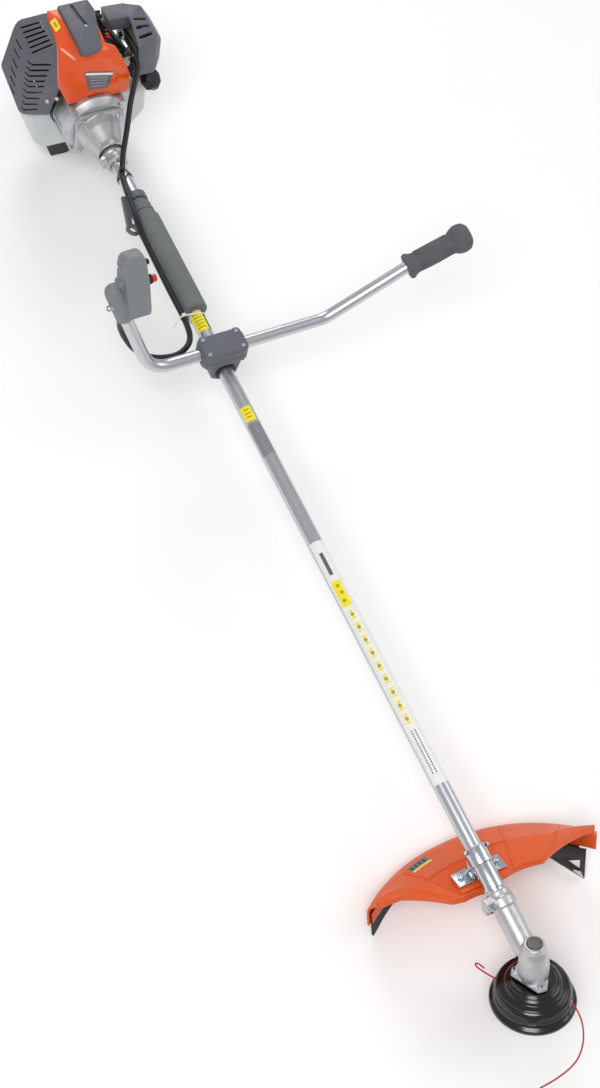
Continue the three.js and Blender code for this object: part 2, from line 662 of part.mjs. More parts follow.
// Lower half of the clamp: a saddle around the shaft with a half groove for the bars.
function handleClampBase() {
  const top = plate(CLAMP_HALF_X, CLAMP_HALF_Y, 11, -14, -GAP / 2);
  const saddle = hull([
    [-29, -22, -14], [29, -22, -14], [-29, 22, -14], [29, 22, -14], [-23, -22, -46], [23, -22, -46],
    [-23, 22, -46], [23, 22, -46], [-13, -22, -52], [13, -22, -52], [-13, 22, -52], [13, 22, -52],
  ]);
  const shaftBore = rod(TUBE_R + GAP, v3(0, -50, -BAR_Z), v3(0, 50, -BAR_Z), 32);
  return cut(join(top, saddle), shaftBore, rod(BAR_R + GAP, v3(-70, 0, 0), v3(70, 0, 0), 24));
}

function handleClampCap() {
  const raised = plate(CLAMP_HALF_X - 5, CLAMP_HALF_Y - 5, 8, 13, 18);
  const body = join(plate(CLAMP_HALF_X, CLAMP_HALF_Y, 11, GAP / 2, 14), raised);
  return cut(body, rod(BAR_R + GAP, v3(-70, 0, 0), v3(70, 0, 0), 24));
}

const direction = (x, y, z) => v3(x, y, z).normalize();
const THROTTLE_BEND = v3(-127, 0, 0);
const THROTTLE_RUN = direction(-0.276, 0.329, 0.903);     // bar direction above its bend
const THROTTLE_RUN_LENGTH = 176;
const GRIP_BEND = v3(189, 0, 0);
const GRIP_KNEE = v3(324, 0, 80);
const GRIP_END = v3(430, 0, 124);

function throttleBar() {
  const end = THROTTLE_BEND.clone().addScaledVector(THROTTLE_RUN, THROTTLE_RUN_LENGTH);
  return swept(bentPath([v3(-1, 0, 0), THROTTLE_BEND, end], BEND_R), BAR_R, 10, 22);
}

function gripBar() {
  return swept(bentPath([v3(1, 0, 0), GRIP_BEND, GRIP_KNEE, GRIP_END], BEND_R), BAR_R, 10, 28);
}

// Moulded grip: flared inner collar, waisted barrel and a bulbous end.
function rubberGrip() {
  const bore = BAR_R + GAP;
  const grip = turned([
    [bore, 2], [21, 2], [22, 8], [19, 13], [17.3, 20], [18.5, 55], [17.3, 84], [22.5, 92], [24.5, 102], [22.5, 114],
    [15, 120], [0, 121], [0, 116], [bore, 116],
  ], 20);
  const axis = GRIP_END.clone().sub(GRIP_KNEE).normalize();
  grip.applyQuaternion(new THREE.Quaternion().setFromUnitVectors(v3(0, 1, 0), axis));
  return grip.translate(GRIP_KNEE.x, GRIP_KNEE.y, GRIP_KNEE.z);
}

function addHandlebar() {
  add(handlebar, 'handle_clamp_base', handleClampBase(), greyPlastic());
  add(handlebar, 'handle_clamp_cap', handleClampCap(), greyPlastic());
  add(handlebar, 'throttle_bar', throttleBar(), satinAluminium());
  add(handlebar, 'grip_bar', gripBar(), satinAluminium());
  add(handlebar, 'rubber_grip', rubberGrip(), greyPlastic());
}
addHandlebar();

// ---------------------------------------------------------------- throttle control
const control = new THREE.Group();        // origin at the middle of the case foot, Z up the case
control.position.set(-140, 41, 109);
control.rotation.x = deg(-19);
handlebar.add(control);

const CASE_SPLIT_X = -10;
const CONDUIT_R = 5;
const CASE_CORNERS = [
  [-24, -16, 3], [-24, 16, 3], [-20, -20, 3], [-20, 20, 3], [16, -21, 0], [16, 21, 0], [21, -15, 2], [21, 15, 2],
  [-25, -14, 60], [-25, 14, 60], [-21, -18, 98], [-21, 18, 98], [-15, -15, 108], [-15, 15, 108],
  [10, -16, 107], [10, 16, 107], [18, -14, 98], [18, 14, 98], [22, -15, 50], [22, 15, 50], [17, -21, 50],
  [17, 21, 50],
];

// The bar axis as seen from the throttle control.
function barInControl() {
  control.updateMatrix();
  const toLocal = control.matrix.clone().invert();
  const from = THROTTLE_BEND.clone().addScaledVector(THROTTLE_RUN, 60).applyMatrix4(toLocal);
  const to = THROTTLE_BEND.clone().addScaledVector(THROTTLE_RUN, THROTTLE_RUN_LENGTH + 1).applyMatrix4(toLocal);
  return [from, to];
}

// The part of the case between two planes across X: a rounded shell with a socket around the bar.
function controlCase(x0, x1) {
  const [from, to] = barInControl();
  const axis = to.clone().sub(from).normalize();
  const socket = rod(15, from.clone().addScaledVector(axis, 58), to.clone().addScaledVector(axis, 5), 20);
  const conduitHole = rod(CONDUIT_R + GAP, v3(-20, 13, -10), v3(-20, 13, 12), 12);
  const whole = cut(
    join(hull(CASE_CORNERS), socket),
    rod(BAR_R + GAP, from, to, 20),
    box(-5, 17, -15, 15, 14, 96),
    box(-8.5, 12, 10, 30, 34, 96),
    conduitHole);
  const half = box(x0, x1, -60, 60, -40, 180);
  return fromSolid(toSolid(whole).intersect(toSolid(half)));
}

// Finger trigger on the far side of the case, hinged at its top end.
function throttleTrigger() {
  return hull([
    [-4, 8, 92], [9, 8, 92], [-4, 15, 92], [9, 15, 92], [-4, 8, 80], [9, 8, 80], [-4, 24, 80], [9, 24, 80],
    [-4, 25, 42], [9, 25, 42], [-4, 33, 40], [9, 33, 40],
  ]);
}

function triggerLockout() {
  return hull([
    [11, -5, 80], [11, 5, 80], [11, -5, 92], [11, 5, 92], [25, -4, 82], [25, 4, 82], [26, -4, 88], [26, 4, 88],
  ]);
}

const BUTTON_Z = 54;

function stopButton() {
  return join(
    rod(6, v3(24, -2, BUTTON_Z), v3(35, -2, BUTTON_Z), 16),
    rod(3, v3(11.5, -2, BUTTON_Z), v3(25, -2, BUTTON_Z), 10));
}

// Inner half of the case, with the dark boss around the stop button.
function innerCase() {
  const boss = rod(9, v3(19, -2, BUTTON_Z), v3(27.5, -2, BUTTON_Z), 16);
  return cut(
    join(controlCase(CASE_SPLIT_X + GAP / 2, 60), boss),
    rod(6.5, v3(19.5, -2, BUTTON_Z), v3(40, -2, BUTTON_Z), 16),
    rod(3.5, v3(5, -2, BUTTON_Z), v3(40, -2, BUTTON_Z), 10),
    box(10, 40, -6, 6, 79, 93));
}

function addControl() {
  add(control, 'throttle_case_outer', controlCase(-80, CASE_SPLIT_X - GAP / 2), paleGreyPlastic());
  add(control, 'throttle_case_inner', innerCase(), paleGreyPlastic());
  add(control, 'throttle_trigger', throttleTrigger(), blackPlastic());
  add(control, 'trigger_lockout', triggerLockout(), blackPlastic());
  add(control, 'stop_button', stopButton(), redPlastic());
}
addControl();

// ---------------------------------------------------------------- throttle conduit, in the shaft frame
const CONDUIT_ROUTE = [
  v3(84, -33, 94), v3(82, -52, 90), v3(62, -83, 76), v3(47, -106, 65), v3(26, -144, 49), v3(5, -180, 32),
  v3(-8.4, -211, 20), v3(-16, -245, 24), v3(-21, -279, 26), v3(-25, -315, 26), v3(-27, -355, 20),
  v3(-27, -450, 14), v3(-27.5, -530, 14), v3(-34, -562, 13), v3(-49, -577, 12), v3(-69, -583, 11),
  v3(-94, -580, 12), v3(-115, -571, 15), v3(-133, -560, 28), v3(-146, -552, 52), v3(-155, -549, 80),
  v3(-159.5, -552.5, 112), v3(-160, -556, 134),
];

// The conduit crosses the joint of the throttle bar, which tilts about X. It is drawn as two lengths that meet
// at a plane across X, so that each can follow its own side of the joint.
const CONDUIT_SPLIT_X = -82;

function conduitBetween(x0, x1) {
  const whole = swept(new THREE.CatmullRomCurve3(CONDUIT_ROUTE), CONDUIT_R, 8, 56);
  return fromSolid(toSolid(whole).intersect(toSolid(box(x0, x1, -700, 0, -100, 200))));
}
add(shaft, 'throttle_conduit', conduitBetween(CONDUIT_SPLIT_X + GAP / 2, 200), blackPlastic());
add(shaft, 'throttle_conduit_end', conduitBetween(-300, CONDUIT_SPLIT_X - GAP / 2), blackPlastic());

// ---------------------------------------------------------------- cutting end, in the frame of the head axis
const head = new THREE.Group();           // Z along the head axis, Y away from the operator's far side
head.position.set(0, HEAD_Y, 0);
head.rotation.x = deg(HEAD_TILT - 90);
shaft.add(head);

const SHAFT_IN_HEAD = v3(0, Math.sin(deg(HEAD_TILT)), Math.cos(deg(HEAD_TILT)));
const shaftAt = (distance) => SHAFT_IN_HEAD.clone().multiplyScalar(distance);
const GUARD_R = 252;
const HOUSING_R = 54;

// Angled gear case: tube socket with a clamp lug, rounded knuckle, and a plate above the cutting head.
function gearCase() {
  const socket = rod(17.5, shaftAt(18), shaftAt(108), 20);
  const collar = rod(19, shaftAt(84), shaftAt(96), 20);
  const knuckle = turnedZ([
    [0, -27], [20, -27], [21, -10], [20, 18], [17, 30], [15, 34], [15, 40], [0, 40],
  ], 20);
  const toe = (angle) => [Math.sin(deg(angle)) * 31, Math.cos(deg(angle)) * 31];
  const plateCorners = [70, 190, 310].flatMap((angle) => [angle - 12, angle + 12].map(toe));
  const base = hull(plateCorners.flatMap(([x, y]) => [[x, y, -27], [x, y, -21]]));
  const lug = box(-30, -10, 76, 86, 36, 60);
  return cut(
    join(socket, collar, knuckle, base, lug),
    rod(TUBE_R + GAP, shaftAt(64), shaftAt(120), 20),
    rod(9.8, shaftAt(15), shaftAt(70), 16),
    turnedZ([[0, -40], [9, -40], [9, -20], [16.5, -20], [16.5, 12], [0, 12]], 20));
}

// Driving bevel gear on the end of the drive shaft, its teeth left plain.
function pinionGear() {
  const gear = turned([[0, 21], [7, 21], [9, 27], [6, 28], [6, 43.6], [0, 43.6]], 16);
  return gear.applyQuaternion(new THREE.Quaternion().setFromUnitVectors(v3(0, 1, 0), SHAFT_IN_HEAD));
}

// Output shaft with the driven bevel gear near its top and the head's thread below.
function outputShaft() {
  return turnedZ([
    [0, -74], [5, -74], [5, -30], [8, -30], [8, -16], [15.5, -16], [15.5, -12], [10, -7], [6, -7], [6, -4], [0, -4],
  ], 20);
}

// Spool housing: stepped dome above, flange below, open underneath for the spool.
function headHousing() {
  return turnedZ([
    [5.4, -33], [33, -33], [39, -37], [41, -41], [47, -43], [HOUSING_R, -50], [HOUSING_R, -68], [61.5, -72],
    [61.5, -78], [HOUSING_R - 4, -78], [HOUSING_R - 4, -53], [43, -47], [9, -43], [9, -56], [5.4, -56],
  ], 28);
}

function spool() {
  return turnedZ([
    [9.5, -86], [46, -86], [46, -83], [28, -82], [28, -58], [44, -57], [44, -54.5], [9.5, -54.5],
  ], 24);
}

function bumpKnob() {
  return turnedZ([
    [0, -101], [14, -101], [24, -97], [27, -90], [27, -87], [8.8, -87], [8.8, -76], [5.7, -76], [5.7, -84],
    [0, -84],
  ], 20);
}

// Line tails leave eyelets on opposite sides of the housing.
const TAIL_R = 1.2;
const SHORT_TAIL = [
  v3(-34, 43, -60), v3(-38, 53, -60), v3(-42, 63, -60), v3(-46, 74, -59), v3(-44, 79, -59), v3(-40, 76, -60),
  v3(-37, 67, -61),
];
const LONG_TAIL = [
  v3(34, -43, -60), v3(35, -56, -62), v3(31, -74, -68), v3(20, -92, -74), v3(4, -106, -79), v3(-15, -114, -82),
  v3(-42, -118, -84), v3(-70, -118, -86),
];

function lineTail(route, steps) {
  return swept(new THREE.CatmullRomCurve3(route), TAIL_R, 8, steps);
}

// Front edge of the guard about the head axis: angle, radius and crest height.
const GUARD_FRONT = [
  [-37.4, 226, 26], [-32, 205, 31], [-28, 170, 36], [-25.4, 131, 46], [-19.6, 119, 49], [0, 112, 45],
  [39.7, 146, 52], [49.5, 197, 50], [55.4, 240, 38],
];
const GUARD_WALL = 3;

function guardFront(angle) {
  const next = GUARD_FRONT.findIndex((row, i) => i > 0 && angle <= row[0] + 1e-6);
  const [low, high] = [GUARD_FRONT[next - 1], GUARD_FRONT[next]];
  const share = (angle - low[0]) / (high[0] - low[0]);
  return [low[1] + (high[1] - low[1]) * share, low[2] + (high[2] - low[2]) * share];
}

const guardReach = (angle) => GUARD_R + Math.max(0, angle) * 0.27;
const polar = (angle, radius, z) => v3(radius * Math.sin(deg(angle)), radius * Math.cos(deg(angle)), z);

// Height of the ground plane, in the head frame, at a point this far along the head frame's Y.
const groundAt = (y) => (-AXIS_Z + y * Math.cos(deg(HEAD_TILT))) / Math.sin(deg(HEAD_TILT));

// Guard cross-section: lip, crest, a roof that falls outwards, rounded shoulder and outer wall.
function guardSection(angle, wall) {
  const [front, crest] = guardFront(angle);
  const reach = guardReach(angle) - wall;
  const middle = (front + reach) / 2;
  const foot = Math.max(-35, groundAt(reach * Math.cos(deg(angle))) + 4);
  return [
    polar(angle, front + wall, crest - 12), polar(angle, front + wall, crest - wall),
    polar(angle, middle, crest - (crest - 18) * 0.35 - wall), polar(angle, reach - 16, 16 - wall),
    polar(angle, reach - 4, 7 - wall), polar(angle, reach, -5), polar(angle, reach, foot),
  ];
}

function stepsBetween(from, to, count) {
  return Array.from({ length: count + 1 }, (_, i) => from + ((to - from) * i) / count);
}

function guard() {
  const middle = stepsBetween(-19.6, 39.7, 10);
  const angles = [...stepsBetween(-37.4, -28, 4), -25.4, ...middle, ...stepsBetween(44, 55.4, 4)];
  return thickSheet(angles.map((a) => guardSection(a, 0)), angles.map((a) => guardSection(a, GUARD_WALL)));
}

// Rubber skirt inside the outer wall; it hangs to the ground in the middle.
const SKIRT_GAP = 0.8;
function guardSkirt() {
  const angles = stepsBetween(-36.5, 50, 14);
  const column = (angle, inset) => {
    const radius = guardReach(angle) - GUARD_WALL - SKIRT_GAP - inset;
    const foot = Math.max(-60, groundAt(radius * Math.cos(deg(angle))) + 0.1);
    return [polar(angle, radius, -14), polar(angle, radius, foot)];
  };
  return thickSheet(angles.map((a) => column(a, 0)), angles.map((a) => column(a, 3)));
}

// Line cutter: a triangular bracket blade behind the end of the skirt.
const CUTTER_ANGLE = 50;
function lineCutter() {
  const shape = new THREE.Shape([[-60, -20], [14, -20], [14, -86], [-22, -62], [-60, -48]]
    .map(([x, y]) => new THREE.Vector2(x, y)));
  shape.holes.push(new THREE.Path([[6, -66], [6, -46], [-14, -54]].map(([x, y]) => new THREE.Vector2(x, y))));
  const blade = new THREE.ExtrudeGeometry(shape, { depth: 2, bevelEnabled: false });
  blade.rotateX(Math.PI / 2);
  blade.translate(0, 246, 0);
  return blade.rotateZ(-deg(CUTTER_ANGLE));
}

// Zinc clamp that holds the guard: a band around the tube, a web below it and an ear plate on each side.
function guardBracket() {
  const band = rod(17, shaftAt(150), shaftAt(176), 20);
  const sleeve = rod(15.5, shaftAt(112), shaftAt(151), 20);
  const web = hull([
    [-14, 128, 50.2], [14, 128, 50.2], [-14, 152, 50.2], [14, 152, 50.2], [-13, 136, 78], [13, 136, 78],
    [-13, 152, 84], [13, 152, 84],
  ]);
  const ears = [-1, 1].map((side) => box(
    Math.min(side * 12, side * 40), Math.max(side * 12, side * 40), 126, 152, 50.2, 54.2));
  return cut(join(band, sleeve, web, ...ears), rod(TUBE_R + GAP, shaftAt(90), shaftAt(200), 20));
}

function addHead() {
  add(head, 'gear_case', gearCase(), castAluminium());
  add(head, 'pinion_gear', pinionGear(), darkSteel());
  add(head, 'output_shaft', outputShaft(), darkSteel());
  add(head, 'head_housing', headHousing(), blackPlastic());
  add(head, 'spool', spool(), blackPlastic());
  add(head, 'bump_knob', bumpKnob(), blackPlastic());
  add(head, 'line_tail_short', lineTail(SHORT_TAIL, 14), trimLine());
  add(head, 'line_tail_long', lineTail(LONG_TAIL, 28), trimLine());
  add(head, 'guard', guard(), orangePlastic());
  add(head, 'guard_skirt', guardSkirt(), blackRubber());
  add(head, 'line_cutter', lineCutter(), blackPlastic());
  add(head, 'guard_bracket', guardBracket(), zincSteel());
}
addHead();

export default trimmer;
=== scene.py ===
import json
import math

import bmesh
import bpy
from mathutils import Matrix, Vector


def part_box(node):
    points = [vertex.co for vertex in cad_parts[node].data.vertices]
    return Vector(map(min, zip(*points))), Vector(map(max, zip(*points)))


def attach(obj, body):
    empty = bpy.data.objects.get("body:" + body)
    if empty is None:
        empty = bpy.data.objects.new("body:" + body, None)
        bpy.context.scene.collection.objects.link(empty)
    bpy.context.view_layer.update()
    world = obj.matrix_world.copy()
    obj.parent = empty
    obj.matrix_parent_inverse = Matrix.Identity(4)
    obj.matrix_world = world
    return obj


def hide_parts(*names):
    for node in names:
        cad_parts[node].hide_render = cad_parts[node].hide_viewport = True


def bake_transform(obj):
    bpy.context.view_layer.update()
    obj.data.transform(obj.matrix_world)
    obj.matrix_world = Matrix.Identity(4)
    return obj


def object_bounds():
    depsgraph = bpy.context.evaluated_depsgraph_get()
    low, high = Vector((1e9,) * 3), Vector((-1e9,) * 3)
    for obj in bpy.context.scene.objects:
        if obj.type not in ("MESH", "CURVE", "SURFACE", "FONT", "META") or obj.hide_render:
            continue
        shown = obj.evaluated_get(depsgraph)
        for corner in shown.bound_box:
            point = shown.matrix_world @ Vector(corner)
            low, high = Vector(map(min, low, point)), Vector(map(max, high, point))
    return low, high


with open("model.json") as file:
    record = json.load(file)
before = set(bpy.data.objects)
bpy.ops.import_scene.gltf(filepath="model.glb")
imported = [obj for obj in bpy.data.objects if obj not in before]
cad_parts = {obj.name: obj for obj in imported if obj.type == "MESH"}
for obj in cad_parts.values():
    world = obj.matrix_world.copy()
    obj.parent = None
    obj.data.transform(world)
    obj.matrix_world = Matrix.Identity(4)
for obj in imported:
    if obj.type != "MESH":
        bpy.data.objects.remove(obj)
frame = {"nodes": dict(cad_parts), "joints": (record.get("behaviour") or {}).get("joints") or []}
CAD_LOW, CAD_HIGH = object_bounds()
joints = {j["name"]: j for j in frame["joints"]}

# ---------------------------------------------------------------- frames of reference, in metres
MM = 0.001
CRANK = Vector(joints["crank_spin"]["pos_m"])
HEAD = Vector(joints["head_spin"]["pos_m"])
BAR = Vector((0, *joints["grip_bar_tilt"]["pos_m"][1:]))
X_AXIS = Vector((1, 0, 0))
Y_AXIS = Vector((0, 1, 0))
Z_AXIS = Vector((0, 0, 1))
HEAD_UP = Vector(joints["head_spin"]["axis"]).normalized()
HEAD_BACK = HEAD_UP.cross(X_AXIS)
CONTROL_TILT = Matrix.Rotation(math.radians(-19), 3, "X")
NECK = Vector(joints["fuel_cap_turn"]["axis"]).normalized()
NECK_FOOT = Vector(joints["fuel_cap_turn"]["pos_m"])


def E(x, y, z):
    """Millimetres from the crank axis, in the engine's frame."""
    return CRANK + Vector((x, y, z)) * MM


def H(x, y, z):
    """Millimetres in the frame of the cutting head, z along its axis."""
    return HEAD + (X_AXIS * x + HEAD_BACK * y + HEAD_UP * z) * MM


def B(x, y, z):
    """Millimetres from the middle of the handlebar."""
    return BAR + Vector((x, y, z)) * MM


def C(x, y, z):
    """Millimetres in the tilted frame of the throttle control."""
    return BAR + Vector((-140, 41, 109)) * MM + CONTROL_TILT @ Vector((x, y, z)) * MM


# ---------------------------------------------------------------- camera, floor and light
def add_camera():
    data = bpy.data.cameras.new("camera")
    data.sensor_fit = "VERTICAL"
    data.sensor_height = 36
    data.lens = 47.3
    data.clip_end = 100
    right = Vector((0.88833, -0.42896, 0.16388))
    up = Vector((0.31631, 0.83032, 0.45882))
    back = Vector((-0.33289, -0.35575, 0.87328))
    place = HEAD + Vector((-0.7617, -0.0831, 1.9390))
    camera = bpy.data.objects.new("camera", data)
    camera.matrix_world = Matrix(((right.x, up.x, back.x, place.x), (right.y, up.y, back.y, place.y),
        (right.z, up.z, back.z, place.z), (0, 0, 0, 1)))
    bpy.context.collection.objects.link(camera)
    bpy.context.scene.camera = camera


def add_light(name, place, target, size, power, colour=(1, 1, 1)):
    data = bpy.data.lights.new(name, "AREA")
    data.shape = "DISK"
    data.size = size
    data.energy = power
    data.color = colour
    light = bpy.data.objects.new(name, data)
    light.location = place
    light.rotation_euler = (Vector(target) - Vector(place)).to_track_quat("-Z", "Y").to_euler()
    bpy.context.collection.objects.link(light)


def add_studio():
    middle = (CAD_LOW + CAD_HIGH) / 2
    add_light("key", middle + Vector((-1.6, -1.2, 3.0)), middle, 1.8, 62)
    add_light("fill", middle + Vector((2.6, -0.6, 2.2)), middle, 2.4, 24)
    add_light("rim", middle + Vector((0.4, 2.8, 1.9)), middle, 1.6, 26)
    world = bpy.data.worlds.new("studio")
    world.use_nodes = True
    background = world.node_tree.nodes["Background"]
    background.inputs["Color"].default_value = (1, 1, 1, 1)
    background.inputs["Strength"].default_value = 0.49
    bpy.context.scene.world = world
    bpy.context.scene.view_settings.view_transform = "Standard"
    floor = add_mesh("floor", [(-30, -30, 0), (30, -30, 0), (30, 30, 0), (-30, 30, 0)], [(0, 1, 2, 3)],
        "floor")


# ---------------------------------------------------------------- materials
def linear(colour):
    return tuple(c / 12.92 if c <= 0.04045 else ((c + 0.055) / 1.055) ** 2.4 for c in colour) + (1,)


def new_material(name):
    made = bpy.data.materials.new(name)
    made.use_nodes = True
    return made, made.node_tree, made.node_tree.nodes["Principled BSDF"]


def noise(tree, scale, detail=3.0, stretch=(1, 1, 1)):
    """Noise in the piece's own coordinates; scale is features per metre."""
    where = tree.nodes.new("ShaderNodeTexCoord")
    mapping = tree.nodes.new("ShaderNodeMapping")
    mapping.inputs["Scale"].default_value = stretch
    texture = tree.nodes.new("ShaderNodeTexNoise")
    texture.inputs["Scale"].default_value = scale
    texture.inputs["Detail"].default_value = detail
    tree.links.new(where.outputs["Object"], mapping.inputs["Vector"])
    tree.links.new(mapping.outputs["Vector"], texture.inputs["Vector"])
    return texture.outputs["Fac"]


def spread(tree, value, low, high):
    ramp = tree.nodes.new("ShaderNodeMapRange")
    ramp.inputs["From Min"].default_value = 0.3
    ramp.inputs["From Max"].default_value = 0.7
    ramp.inputs["To Min"].default_value = low
    ramp.inputs["To Max"].default_value = high
    tree.links.new(value, ramp.inputs["Value"])
    return ramp.outputs["Result"]


def surface(name, colour, roughness, metallic=0.0, coat=0.0, mottle=0.06, mottle_scale=60,
        rough_spread=0.06, bump=0.0, bump_scale=900, bump_depth=0.0002, stretch=(1, 1, 1), through=0.0,
        glow=0.0):
    """Procedural finish: colour and roughness drift slowly, and a fine bump gives the grain."""
    made, tree, shader = new_material(name)
    drift = noise(tree, mottle_scale, 4, stretch)
    mix = tree.nodes.new("ShaderNodeMix")
    mix.data_type = "RGBA"
    base = linear(colour)
    mix.inputs["A"].default_value = tuple(c * (1 - mottle) for c in base[:3]) + (1,)
    mix.inputs["B"].default_value = tuple(min(1, c * (1 + mottle)) for c in base[:3]) + (1,)
    tree.links.new(spread(tree, drift, 0, 1), mix.inputs["Factor"])
    tree.links.new(mix.outputs["Result"], shader.inputs["Base Color"])
    tree.links.new(spread(tree, noise(tree, mottle_scale * 3, 4, stretch), roughness - rough_spread,
        roughness + rough_spread), shader.inputs["Roughness"])
    shader.inputs["Metallic"].default_value = metallic
    shader.inputs["Coat Weight"].default_value = coat
    shader.inputs["Coat Roughness"].default_value = 0.12
    shader.inputs["Transmission Weight"].default_value = through
    if glow:
        shader.inputs["Subsurface Weight"].default_value = glow
        shader.inputs["Subsurface Radius"].default_value = (0.01, 0.01, 0.01)
    if bump:
        node = tree.nodes.new("ShaderNodeBump")
        node.inputs["Strength"].default_value = bump
        node.inputs["Distance"].default_value = bump_depth
        tree.links.new(noise(tree, bump_scale, 4, stretch), node.inputs["Height"])
        tree.links.new(node.outputs["Normal"], shader.inputs["Normal"])
    return made


def add_materials():
    surface("floor", (0.985, 0.985, 0.985), 0.7, mottle=0.004, mottle_scale=3)
    surface("orange", (0.87, 0.31, 0.03), 0.24, coat=0.45, mottle=0.02, mottle_scale=25, rough_spread=0.03,
        bump=0.04)
    surface("orange_guard", (0.86, 0.33, 0.04), 0.45, mottle=0.03, mottle_scale=25, bump=0.12,
        bump_scale=1300)
    surface("grey", (0.36, 0.37, 0.40), 0.46, mottle=0.05, bump=0.5, bump_scale=1800, bump_depth=0.0003)
    surface("grey_case", (0.47, 0.49, 0.51), 0.50, mottle=0.05, bump=0.4, bump_scale=1600,
        bump_depth=0.0003)
    surface("grey_sleeve", (0.41, 0.43, 0.43), 0.78, mottle=0.06, bump=0.5, bump_scale=1300,
        bump_depth=0.0004)
    surface("black", (0.055, 0.055, 0.06), 0.40, mottle=0.2, bump=0.25, bump_scale=1400)
    surface("black_gloss", (0.035, 0.035, 0.04), 0.20, coat=0.3, mottle=0.2, bump=0.08, bump_scale=700)
    surface("charcoal", (0.20, 0.20, 0.21), 0.6, mottle=0.1, bump=0.5, bump_scale=1500, bump_depth=0.0003)
    # Real rubber parts, and also the painted shade ring at the bottom of the clutch housing groove.
    surface("rubber", (0.07, 0.07, 0.075), 0.62, mottle=0.15, bump=0.4, bump_scale=1200, bump_depth=0.0003)
    surface("grip_rubber", (0.33, 0.34, 0.35), 0.68, mottle=0.08, bump=0.5, bump_scale=1000,
        bump_depth=0.0004)
    surface("tank", (0.86, 0.88, 0.88), 0.36, mottle=0.03, mottle_scale=25, glow=0.5, through=0.18,
        bump=0.15)
    surface("fuel", (0.78, 0.72, 0.55), 0.15, mottle=0.02, through=0.4)
    surface("red", (0.80, 0.12, 0.07), 0.3, coat=0.3, mottle=0.05, bump=0.1)
    surface("cast", (0.76, 0.76, 0.77), 0.38, metallic=0.85, mottle=0.07, mottle_scale=90, rough_spread=0.1,
        bump=0.5, bump_scale=1500, bump_depth=0.0003)
    surface("satin", (0.78, 0.79, 0.81), 0.30, metallic=0.95, mottle=0.05, mottle_scale=900,
        rough_spread=0.07, bump=0.1, bump_scale=3000, stretch=(1, 0.02, 1))
    surface("zinc", (0.78, 0.80, 0.83), 0.22, metallic=1.0, mottle=0.05, mottle_scale=120,
        rough_spread=0.05, bump=0.02, bump_scale=900)
    surface("steel", (0.42, 0.41, 0.40), 0.42, metallic=0.9, mottle=0.15, mottle_scale=120,
        rough_spread=0.1, bump=0.3, bump_scale=900)
    # Sooty steel of the muffler, and also the painted shade of the dark liner inside the muffler guard.
    surface("sooty_steel_and_shade", (0.20, 0.19, 0.18), 0.55, metallic=0.7, mottle=0.3, mottle_scale=70, bump=0.4)
    surface("foam", (0.42, 0.36, 0.26), 0.9, mottle=0.25, mottle_scale=500, bump=1.0, bump_scale=700,
        bump_depth=0.001)
    surface("line_red", (0.72, 0.14, 0.10), 0.32, coat=0.2, mottle=0.06, mottle_scale=300, bump=0.1)
    surface("rope", (0.84, 0.83, 0.78), 0.85, mottle=0.1, mottle_scale=900, bump=0.9, bump_scale=1500,
        bump_depth=0.0006, stretch=(1, 1, 0.4))
    surface("bulb", (0.88, 0.85, 0.74), 0.14, mottle=0.03, through=0.6, coat=0.4)
    surface("label_yellow", (0.93, 0.86, 0.12), 0.38, coat=0.3, mottle=0.03, bump=0.05)
    # White label stock, and also the painted highlight strip on the engine nameplate.
    surface("white_label_and_highlight", (0.90, 0.90, 0.89), 0.36, coat=0.3, mottle=0.02, bump=0.05)
    surface("label_grey", (0.62, 0.63, 0.65), 0.34, metallic=0.3, coat=0.2, mottle=0.03, bump=0.05)
    surface("plate_grey", (0.40, 0.41, 0.43), 0.30, metallic=0.3, coat=0.3, mottle=0.03, bump=0.05)
    surface("label_ochre", (0.66, 0.61, 0.10), 0.42, mottle=0.03, bump=0.05)
    surface("label_ink", (0.14, 0.14, 0.15), 0.45, mottle=0.05, bump=0.05)
    surface("tie_white", (0.85, 0.85, 0.84), 0.45, mottle=0.03, bump=0.1)


# ---------------------------------------------------------------- mesh helpers
def add_mesh(name, points, faces, material, sharp=35):
    mesh = bpy.data.meshes.new(name)
    mesh.from_pydata([tuple(p) for p in points], [], faces)
    mesh.materials.append(bpy.data.materials[material])
    made = bpy.data.objects.new(name, mesh)
    bpy.context.collection.objects.link(made)
    shade(made, sharp)
    return made


def shade(made, sharp=35):
    """Smooth shading, split where two faces meet at more than sharp degrees."""
    work = bmesh.new()
    work.from_mesh(made.data)
    bmesh.ops.recalc_face_normals(work, faces=work.faces)
    for face in work.faces:
        face.smooth = True
    for edge in work.edges:
        edge.smooth = len(edge.link_faces) == 2 and edge.calc_face_angle(0) < math.radians(sharp)
    work.to_mesh(made.data)
    work.free()


def basis(axis):
    """Two directions across an axis."""
    axis = Vector(axis).normalized()
    side = Z_AXIS.cross(axis) if abs(axis.z) < 0.9 else X_AXIS.cross(axis)
    side.normalize()
    return side, axis.cross(side)


def across(axis, share):
    """Direction across an axis, at a share of a full turn round it."""
    u, v = basis(axis)
    turn = 2 * math.pi * share
    return u * math.cos(turn) + v * math.sin(turn)


def lathe(name, centre, axis, profile, material, sides=96, sharp=35):
    """profile is (radius, distance) pairs in millimetres along the axis; open ends close on the axis."""
    axis = Vector(axis).normalized()
    u, v = basis(axis)
    points, faces = [], []
    for radius, distance in profile:
        for k in range(sides):
            turn = 2 * math.pi * k / sides
            points.append(Vector(centre) + (axis * distance + (u * math.cos(turn)
                + v * math.sin(turn)) * radius) * MM)
    for i in range(len(profile) - 1):
        for k in range(sides):
            m = (k + 1) % sides
            faces.append((i * sides + k, i * sides + m, (i + 1) * sides + m, (i + 1) * sides + k))
    made = add_mesh(name, points, faces, material, sharp)
    work = bmesh.new()
    work.from_mesh(made.data)
    bmesh.ops.remove_doubles(work, verts=work.verts, dist=2e-6)
    bmesh.ops.holes_fill(work, edges=[e for e in work.edges if len(e.link_faces) == 1], sides=0)
    work.to_mesh(made.data)
    work.free()
    shade(made, sharp)
    return made


